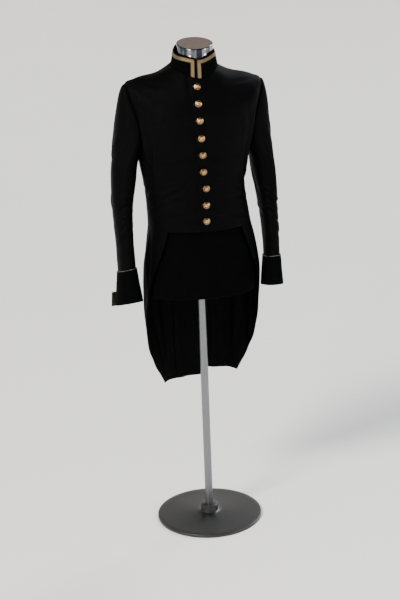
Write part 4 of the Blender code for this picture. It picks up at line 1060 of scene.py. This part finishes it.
def make_buttonhole(number, x, level):
    """A worked buttonhole: a purl of silk round the slit, from the button to the edge."""
    turns = np.linspace(0, 2 * np.pi, 40, endpoint=False)
    ring = rows_at(BODY_RINGS, level)
    cosine = np.cos(turns)
    across = x - HOLE_PAST + HOLE_HALF * np.sign(cosine) * np.abs(cosine) ** 0.5
    height = level + HOLE_HALF_WIDTH * np.sin(turns)
    angle = np.degrees(np.arcsin((across - ring.shift) / ring.half_width))
    path = raised(body_surface(angle, height), body_normal(angle, height),
                  body_relief(angle, height) + SILK_LIFT)
    dress(tube(f"buttonhole_{number}", path, SILK_RADIUS), None, "black_broadcloth",
          "twisted_silk")


def make_buttons():
    for number, place in enumerate(FRONT_BUTTONS, start=1):
        level = np.float64(front_level(place.height))
        ring = rows_at(BODY_RINGS, level)
        angle = np.degrees(np.arcsin((place.across - ring.shift) / ring.half_width))
        make_button(f"button_front_{number}", angle, level)
        make_buttonhole(number, place.across, level)
    for side, sign in SIGN.items():
        make_button("button_hip_" + side, np.float64(sign * HIP_BUTTON_ANGLE),
                    np.float64(HIP_BUTTON_LEVEL))


def state_cuts():
    """Runs through every sheet of cloth's cut on each side, and does nothing with it."""
    for cut in CUTS:
        for side, measures in zip(SIGN, (cut.left, cut.right)):
            if not measures:
                continue


# dress form and stand

def neck_frame():
    """The cap's foot: its middle, and axes whose first two lie in its leaning face while the
    third runs up its wall."""
    face = Matrix.Rotation(NECK_TILT, 3, "X")
    wall = Matrix.Rotation(CAP_WALL_TILT, 3, "X") @ Vector((0, 0, 1))
    axes = Matrix((face @ Vector((1, 0, 0)), face @ Vector((0, 1, 0)), wall)).transposed()
    return Vector(CAP_TOP) - wall * CAP_HEIGHT, axes


def form_point(angle, level, inset=0.0):
    ring = rows_at(BODY_RINGS, level)
    depth = WALL + mix(ring.ease, ring.side_ease, np.sin(np.radians(angle)) ** 2) + inset
    if level < WAIST_SEAM:
        plain_point = ring_point(ring, angle)
        inward = plain_point - np.stack([ring.shift + 0 * angle, 0 * angle, plain_point[:, 2]],
                                        axis=-1)
        return raised(plain_point, unit(inward), -depth)
    levels = np.full(angle.shape, level)
    return raised(body_surface(angle, levels), body_normal(angle, levels), -depth)


def make_form():
    """The torso, closed at its foot, up the neck to the cap."""
    angles = np.linspace(0, 360, FORM_COLUMNS, endpoint=False)
    rings = [form_point(angles, FORM_FOOT, FORM_FOOT_ROUND * inset)
             for inset in (9.5, 7, 4, 2.0, 1.4)]
    for turn in np.radians(np.linspace(0, 90, 7)):
        level = FORM_FOOT + FORM_FOOT_ROUND * (1 - math.cos(turn))
        rings.append(form_point(angles, level, FORM_FOOT_ROUND * (1 - math.sin(turn))))
    rings += [form_point(angles, level) for level in np.linspace(FORM_WALL_FOOT, NECK_SEAM, 110)]
    seat, axes = neck_frame()
    radians = np.radians(angles)
    flat = np.stack([np.sin(radians), -np.cos(radians), 0 * radians], axis=-1) * NECK_RADIUS
    top = np.array(seat) - (0, 0, SEAM / math.cos(NECK_TILT)) + flat @ np.array(axes).T
    rings += [mix(rings[-1], top, share) for share in (0.28, NECK_HOLLOW, 0.8, 1.0)]
    points = np.concatenate(rings)
    spots = np.arange(len(points)).reshape(-1, FORM_COLUMNS).tolist()
    faces = [spots[0], spots[-1][::-1]]
    for low, high in zip(spots, spots[1:]):
        faces += [[b, a, d, c] for a, b, c, d in quads(low, high, FORM_COLUMNS)]
    dress(mesh_piece("form_cover", points, faces), "form_torso", "black_jersey")


def make_neck_cap():
    """A plated ring with a spread foot and a rolled top edge, and the disc let into it."""
    painted_rim_shadow, high, foot = NECK_RADIUS, CAP_HEIGHT, 0.0008
    profile = [(0, 0), (painted_rim_shadow + CAP_FLARE, 0), (painted_rim_shadow + CAP_FLARE, foot)]
    profile += [(painted_rim_shadow - 0.001 + (CAP_FLARE + 0.001) * (1 - share) ** 1.6,
                 mix(foot, high - 0.016, share)) for share in np.linspace(0.1, 1, 10)]
    profile += [(painted_rim_shadow - 0.0008, high - 0.0085), (painted_rim_shadow - 0.0002, high - 0.0068), (painted_rim_shadow, high - 0.0052),
                (painted_rim_shadow, high - CAP_ROUND), (painted_rim_shadow - CAP_ROUND * 0.3, high - CAP_ROUND * 0.3),
                (painted_rim_shadow - CAP_ROUND, high), (painted_rim_shadow - CAP_ROUND * 1.6, high),
                (painted_rim_shadow - CAP_ROUND * 1.8, high - DISC_DROP), (painted_rim_shadow * 0.5, high - DISC_DROP),
                (0, high - DISC_DROP)]
    obj, steps = turned("neck_cap_plated", profile, 144, *neck_frame())
    disc = len(profile) - 4
    dress(obj, "form_neck_cap", "chrome")
    obj.data.materials.append(FINISHES["lacquered_disc"])
    obj.data.polygons.foreach_set("material_index", [int(step >= disc) for step in steps])


def make_stand():
    top, flange = FORM_FOOT - SEAM, FORM_FOOT - SEAM - FLANGE_HEIGHT
    pole = [(0, HUB_HEIGHT + SEAM), (POLE_RADIUS - 0.0004, HUB_HEIGHT + SEAM),
            (POLE_RADIUS, HUB_HEIGHT + SEAM + 0.0004), (POLE_RADIUS, flange - 0.012),
            (POLE_RADIUS + 0.0035, flange - 0.004), (POLE_RADIUS + 0.006, flange),
            (FLANGE_RADIUS - 0.001, flange), (FLANGE_RADIUS, flange + 0.001),
            (FLANGE_RADIUS, top), (0, top)]
    dress(turned("pole_tube", pole, 96)[0], "form_pole", "brushed_steel")
    bevel, dome = BASE_BEVEL, BASE_HEIGHT + BASE_DOME
    base = [(0, 0), (BASE_RADIUS, 0), (BASE_RADIUS, BASE_HEIGHT - bevel)]
    base += [(BASE_RADIUS - bevel * (1 - math.cos(turn)), BASE_HEIGHT - bevel * (1 - math.sin(turn)))
             for turn in np.radians((30, 60, 90))]
    base += [(mix(BASE_RADIUS - bevel, HUB_RADIUS + 0.004, share),
              BASE_HEIGHT + BASE_DOME * share ** 1.6) for share in np.linspace(0.1, 1, 10)]
    base += [(HUB_RADIUS + 0.001, dome + 0.0015), (HUB_RADIUS, dome + 0.004),
             (HUB_RADIUS, HUB_HEIGHT - bevel), (HUB_RADIUS - bevel * 0.3, HUB_HEIGHT - bevel * 0.3),
             (HUB_RADIUS - bevel, HUB_HEIGHT), (0, HUB_HEIGHT)]
    dress(turned("base_plate", base, 160)[0], "form_base", "black_paint")


# finishes

def linear(colour):
    """A colour written as sRGB hex, as the shader wants it."""
    values = [int(colour[start:start + 2], 16) / 255 for start in (1, 3, 5)]
    return tuple(value / 12.92 if value <= 0.04045 else ((value + 0.055) / 1.055) ** 2.4
                 for value in values) + (1.0,)


def new_finish(name):
    finish = bpy.data.materials.new(name)
    finish.use_nodes = True
    return finish


def fill(node, values):
    """Sets a node's properties and sockets. A socket's value may be a number, a colour in hex,
    or another node's output, which is linked to it."""
    for key, value in values.items():
        if isinstance(value, bpy.types.NodeSocket):
            node.id_data.links.new(value, node.inputs[key])
        elif isinstance(key, str) and hasattr(node, key):
            setattr(node, key, value)
        else:
            node.inputs[key].default_value = linear(value) if isinstance(value, str) else value


def add(finish, kind, values, output=0):
    """Adds a node with its settings and links, and returns its output."""
    node = finish.node_tree.nodes.new("ShaderNode" + kind)
    fill(node, values)
    return node.outputs[output]


def surfaced(finish, shade, by, rough, bump, values):
    """Joins up a finish: its shade, a roughness that runs between two values as by does, a bump
    as (height, strength, distance) or None, and what is the same all over."""
    joined = {"Base Color": shade}
    joined["Roughness"] = add(finish, "MapRange", {"To Min": rough[0], "To Max": rough[1], "Value": by})
    if bump:
        joined["Normal"] = add(finish, "Bump", dict(zip(("Height", "Strength", "Distance"), bump)))
    fill(finish.node_tree.nodes["Principled BSDF"], joined | values)
    return finish


# A colour mix has its two colours at inputs 6 and 7 and its result at output 2
MIXED = 2
METAL = {"Metallic": 1.0}


def broadcloth():
    """Fulled wool broadcloth: dull, almost black, with a short brushed nap that hides the
    weave and catches a little light where the cloth turns away."""
    finish = new_finish("wool_broadcloth")
    place = add(finish, "UVMap", {"uv_map": "cut"})
    # the nap lies in tufts of 0.3 mm, drawn coarser to show
    nap = add(finish, "TexNoise", {"Scale": 1 / 0.0035, "Detail": 6.0, "Vector": place})
    wear = add(finish, "TexNoise", {"Scale": 1 / 0.060, "Detail": 2.0, "Vector": place})
    tint = add(finish, "Mix", {"data_type": "RGBA", 6: "#020203", 7: "#050506", "Factor": wear}, MIXED)
    # a row of stitches 4.2 mm in from each free edge, 2.6 mm to a stitch
    stitched = add(finish, "Attribute", {"attribute_name": "stitched"}, "Fac")
    run = add(finish, "Attribute", {"attribute_name": "run"}, "Fac")
    row = add(finish, "Math", {"operation": "COMPARE", 0: stitched, 1: 0.0042, 2: 0.0005})
    count = add(finish, "Math", {"operation": "DIVIDE", 0: run, 1: 0.0026})
    part = add(finish, "Math", {"operation": "FRACT", 0: count})
    thread = add(finish, "Math", {"operation": "GREATER_THAN", 0: part, 1: 0.3})
    stitch = add(finish, "Math", {"operation": "MULTIPLY", 0: row, 1: thread})
    height = add(finish, "Math", {"operation": "MULTIPLY_ADD", 0: stitch, 1: -0.8, 2: nap})
    return surfaced(finish, tint, nap, (0.50, 0.72), (height, 0.30, 0.0004),
                    {"Specular IOR Level": 0.027, "Sheen Weight": 0.002,
                     "Sheen Roughness": 0.45, "Sheen Tint": "#c8ccd6"})


def velvet():
    """Silk velvet, woven with a cut pile: blackest face on, lighter along its turned edges."""
    finish = new_finish("cut_velvet")
    place = add(finish, "UVMap", {"uv_map": "cut"})
    # pile tufts of 0.25 mm, drawn coarser to show
    pile = add(finish, "TexNoise", {"Scale": 1 / 0.0020, "Detail": 4.0, "Vector": place})
    # where hands have turned the pile
    lay = add(finish, "TexNoise", {"Scale": 1 / 0.022, "Detail": 2.0, "Vector": place})
    tint = add(finish, "Mix", {"data_type": "RGBA", 6: "#010202", 7: "#050606", "Factor": lay}, MIXED)
    return surfaced(finish, tint, lay, (0.85, 1.0), (pile, 0.45, 0.0006),
                    {"Specular IOR Level": 0.02, "Sheen Weight": 0.004,
                     "Sheen Roughness": 0.30, "Sheen Tint": "#aab0ac"})


def gold_lace():
    """Lace woven of gilt wire on silk: ribs run its length 1.6 mm apart, with the weft's fine
    steps across them, and the gilding is duller where it has rubbed."""
    finish = new_finish("woven_gold_lace")
    place = add(finish, "UVMap", {"uv_map": "cut"})
    mitre = add(finish, "Attribute", {"attribute_name": "mitre"}, "Fac")
    across, along, _ = add(finish, "SeparateXYZ", {0: place}, slice(3))
    waves = []
    for turn, pitch, wave in ((across, 0.0016, "COSINE"), (along, 0.0009, "SINE")):
        turn = add(finish, "Math", {"operation": "MULTIPLY", 0: turn, 1: 2 * math.pi / pitch})
        waves.append(add(finish, "Math", {"operation": wave, 0: turn}))
    ribs, weft = waves
    height = add(finish, "Math", {"operation": "MULTIPLY_ADD", 0: weft, 1: 0.4, 2: ribs})
    rubbed = add(finish, "TexNoise", {"Scale": 1 / 0.012, "Detail": 3.0, "Vector": place})
    shade = add(finish, "Mix", {"data_type": "RGBA", 6: "#665840", 7: "#8a795a", "Factor": rubbed},
                MIXED)
    # painted shade between its ribs and in the fold of its mitre, and darker along its selvedges
    middle = add(finish, "Math", {"operation": "SUBTRACT", 0: across, 1: LACE_WIDTH / 2})
    middle = add(finish, "Math", {"operation": "ABSOLUTE", 0: middle})
    dark = [add(finish, "MapRange", {"Value": value, "From Min": start, "From Max": end,
                                     "To Min": low, "To Max": high})
            for value, start, end, low, high in ((ribs, -1, 1, 0.55, 1.10),
                                                 (middle, 0.0038, 0.0055, 1.0, 0.30),
                                                 (mitre, 0.0003, 0.0014, 0.35, 1.0))]
    painted_shade_and_selvedges = add(finish, "Math", {"operation": "MULTIPLY", 0: dark[0], 1: dark[1]})
    painted_shade_and_selvedges = add(finish, "Math", {"operation": "MULTIPLY", 0: painted_shade_and_selvedges, 1: dark[2]})
    shade = add(finish, "Mix", {"data_type": "RGBA", "blend_type": "MULTIPLY", "Factor": 1.0,
                                6: shade, 7: painted_shade_and_selvedges}, MIXED)
    return surfaced(finish, shade, rubbed, (0.40, 0.55), (height, 0.5, 0.0003), METAL)


def cuff_braid():
    """Flat braid plaited of pale gilt wire: strands cross its length at a slant, 1 mm apart."""
    finish = new_finish("plaited_wire_braid")
    place = add(finish, "UVMap", {"uv_map": "cut"})
    across, along, _ = add(finish, "SeparateXYZ", {0: place}, slice(3))
    slant = add(finish, "Math", {"operation": "PINGPONG", 0: along, 1: CUFF_BRAID_WIDTH / 2})
    strand = add(finish, "Math", {"operation": "ADD", 0: across, 1: slant})
    strand = add(finish, "Math", {"operation": "MULTIPLY", 0: strand, 1: 2 * math.pi / 0.0010})
    strand = add(finish, "Math", {"operation": "SINE", 0: strand})
    tarnish = add(finish, "TexNoise", {"Scale": 1 / 0.009, "Detail": 3.0, "Vector": place})
    patchy = add(finish, "MapRange", {"From Min": 0.38, "From Max": 0.62, "Value": tarnish})
    tint = add(finish, "Mix", {"data_type": "RGBA", 6: "#3f3d38", 7: "#98938a", "Factor": patchy},
               MIXED)
    # painted shade in the grooves between its strands
    painted_groove_shade = add(finish, "MapRange", {"From Min": -1, "To Min": 0.5, "To Max": 1.1, "Value": strand})
    shade = add(finish, "Mix", {"data_type": "RGBA", "blend_type": "MULTIPLY", "Factor": 1.0,
                                6: tint, 7: painted_groove_shade}, MIXED)
    return surfaced(finish, shade, patchy, (0.52, 0.38), (strand, 0.5, 0.0003), METAL)


def gilt_brass():
    """Stamped brass, gilt and burnished: worn bright on what stands up, with painted shade in
    the hollows and a painted shadow round the rim."""
    finish = new_finish("gilt_stamped_brass")
    place = add(finish, "TexCoord", {}, "Object")
    out = add(finish, "Attribute", {"attribute_name": "out"}, "Fac")
    height = add(finish, "Attribute", {"attribute_name": "raised"}, "Fac")
    drift = add(finish, "TexNoise", {"Scale": 1 / 0.004, "Detail": 4.0, "Vector": place})
    # bright where it stands up and patchy at random, with painted shade darkening the hollows
    wear_and_hollow_shade = add(finish, "Math", {"operation": "MULTIPLY_ADD", 0: height, 1: 0.55, 2: drift})
    wear_and_hollow_shade = add(finish, "MapRange", {"From Min": 0.42, "From Max": 0.95, "Value": wear_and_hollow_shade})
    tint = add(finish, "Mix", {"data_type": "RGBA", 6: "#5c4526", 7: "#b3936a", "Factor": wear_and_hollow_shade}, MIXED)
    # a painted shadow round the rim
    painted_rim_shadow = add(finish, "MapRange", {"From Min": 0.80, "From Max": 0.96, "Value": out})
    shade = add(finish, "Mix", {"data_type": "RGBA", 6: tint, 7: "#35230f", "Factor": painted_rim_shadow}, MIXED)
    return surfaced(finish, shade, wear_and_hollow_shade, (0.32, 0.17), None, METAL)


def chromium_plate():
    """Chromium plate over a spun steel ring, with painted reflections: dark cloudy upright bands
    between bright ones, and a polish that is duller in the dark bands."""
    finish = new_finish("chromium_plate")
    place = add(finish, "TexCoord", {}, "Object")
    # painted reflections: upright bands of dark and bright stand in for what the chrome reflects
    upright = add(finish, "Mapping", {"Scale": (1.0, 1.0, 0.16), "Vector": place})
    reflection_bands = add(finish, "TexNoise", {"Scale": 1 / 0.0135, "Detail": 2.0, "Roughness": 0.4,
                                     "Vector": upright})
    reflection_bands = add(finish, "MapRange", {"From Min": 0.42, "From Max": 0.60, "Value": reflection_bands})
    tone = add(finish, "TexNoise", {"Scale": 1 / 0.03, "Detail": 1.0, "Vector": place})
    # the painted dark reflections, in two cloudy tones
    painted_dark_reflection = add(finish, "Mix", {"data_type": "RGBA", 6: "#23222b", 7: "#3a424e", "Factor": tone}, MIXED)
    tint = add(finish, "Mix", {"data_type": "RGBA", 6: painted_dark_reflection, 7: "#8d8b8a", "Factor": reflection_bands}, MIXED)
    return surfaced(finish, tint, reflection_bands, (0.22, 0.08), None, METAL)


def brushed_steel():
    """Steel tube, brushed along its length: fine streaks that break up its reflections."""
    finish = new_finish("brushed_steel_tube")
    place = add(finish, "TexCoord", {}, "Object")
    long = add(finish, "Mapping", {"Scale": (1.0, 1.0, 0.02), "Vector": place})
    streaks = add(finish, "TexNoise", {"Scale": 1 / 0.0012, "Detail": 4.0, "Vector": long})
    tint = add(finish, "Mix", {"data_type": "RGBA", 6: "#5f6164", 7: "#8b8d90", "Factor": streaks},
               MIXED)
    return surfaced(finish, tint, streaks, (0.26, 0.42), (streaks, 0.2, 0.0002), METAL)


def plain(name, dark, light, rough, patch, grain_size, grain_depth, sheen=0.0, level=0.5):
    """A plain dull finish with patches of slightly different tone and a fine grain, which on
    cloth is its stitch, weave or twist, drawn coarser to show."""
    finish = new_finish(name)
    place = add(finish, "TexCoord", {}, "Object")
    drift, grain = (add(finish, "TexNoise", {"Scale": 1 / size, "Detail": 3.0, "Vector": place})
                    for size in (patch, grain_size))
    tint = add(finish, "Mix", {"data_type": "RGBA", 6: dark, 7: light, "Factor": drift}, MIXED)
    return surfaced(finish, tint, grain, rough, (grain, 0.3, grain_depth),
                    {"Specular IOR Level": level, "Sheen Weight": sheen})


# studio

def make_camera():
    camera = bpy.data.cameras.new("camera")
    camera.lens = 90.5
    camera.sensor_width = 36.0
    camera.clip_end = 60
    right = CAMERA_LOOK.cross(Vector((0, 0, 1))).normalized()
    up = right.cross(CAMERA_LOOK)
    cos, sin = math.cos(CAMERA_ROLL), math.sin(CAMERA_ROLL)
    axes = Matrix((right * cos - up * sin, right * sin + up * cos, -CAMERA_LOOK)).transposed()
    obj = in_scene("camera", camera)
    obj.matrix_world = Matrix.Translation(CAMERA_AT) @ axes.to_4x4()
    bpy.context.scene.camera = obj


def make_lamp(name, kind, place, target, colour, settings):
    lamp = bpy.data.lights.new(name, kind)
    lamp.color = linear(colour)[:3]
    for key, value in settings.items():
        setattr(lamp, key, value)
    obj = in_scene(name, lamp)
    obj.location = place
    obj.rotation_euler = (Vector(target) - Vector(place)).to_track_quat("-Z", "Y").to_euler()


def make_studio():
    floor, _ = turned("floor", FLOOR, 96)
    floor.data.flip_normals()
    # matt white paint, with the faintest grain
    floor.data.materials.append(plain("pale_floor", "#f4f4f3", "#fafaf9", (0.7, 0.8), 1.5, 0.02,
                                      0.0005))
    world = bpy.data.worlds.new("studio")
    world.use_nodes = True
    fill(world.node_tree.nodes["Background"], {"Color": "#ffffff", "Strength": 0.32})
    bpy.context.scene.world = world
    make_lamp("daylight", "SUN", (-3.0, -2.2, 3.6), (0, 0, 0), "#fffaf2",
              {"energy": 3.6, "angle": math.radians(14)})
    make_lamp("bounce", "SUN", (2.6, 2.6, 2.6), (0, 0, 0), "#f2f6ff",
              {"energy": 2.0, "angle": math.radians(20)})
    make_lamp("softbox_left", "AREA", (-2.4, -2.6, 2.2), (0, 0, 1.2), "#fff4e4",
              {"energy": 70, "shape": "RECTANGLE", "size": 0.7, "size_y": 1.8})
    make_lamp("softbox_right", "AREA", (2.6, -1.8, 1.8), (0, 0, 1.1), "#eef4ff",
              {"energy": 40, "shape": "RECTANGLE", "size": 0.6, "size_y": 1.8})


# by material slot, then those that share a slot with another
FINISHES = {
    "black_broadcloth": broadcloth(),
    "black_velvet": velvet(),
    "gold_lace": gold_lace(),
    "gilt_brass": gilt_brass(),
    "chrome": chromium_plate(),
    "brushed_steel": brushed_steel(),
    # tightly knitted cotton jersey: dull, with a fine even stitch
    "black_jersey": plain("cotton_jersey", "#020203", "#050506", (0.85, 0.97), 0.05, 0.0022, 0.0004,
                          0.0, 0.02),
    # plain woven cotton, washed to a soft grey
    "grey_lining": plain("cotton_lining", "#1a1a1a", "#2a2a29", (0.8, 0.95), 0.01, 0.0012, 0.0003,
                         0.01, 0.2),
    # cast and spun steel with a baked satin enamel, which gives it soft wide highlights
    "black_paint": plain("satin_enamel", "#0e0e0f", "#151516", (0.30, 0.42), 0.08, 0.0018, 0.0001),
    "plaited_braid": cuff_braid(),
    # twisted silk: a little brighter than the wool round it
    "twisted_silk": plain("twisted_silk", "#0a0a0b", "#161618", (0.45, 0.6), 0.004, 0.0008, 0.0002),
    # a turned wooden disc, lacquered taupe, with a soft shine
    "lacquered_disc": plain("lacquered_wood_disc", "#423730", "#62554b", (0.5, 0.62), 0.009, 0.004,
                            0.0002, 0.0, 0.3),
}
for side in SIGN:
    for make in (make_front, make_side_body, make_back, make_skirt):
        make(side)
    make_sleeve("sleeve_top", side, BACK_SLEEVE_SEAM - 360, FRONT_SLEEVE_SEAM)
    make_sleeve("sleeve_under", side, FRONT_SLEEVE_SEAM, BACK_SLEEVE_SEAM)
    for make in (make_cuff, make_cuff_braid, make_collar_lace):
        make(side)
for make in (make_tab, make_collar, make_buttons, make_form, make_neck_cap, make_stand,
             state_cuts, make_studio, make_camera):
    make()
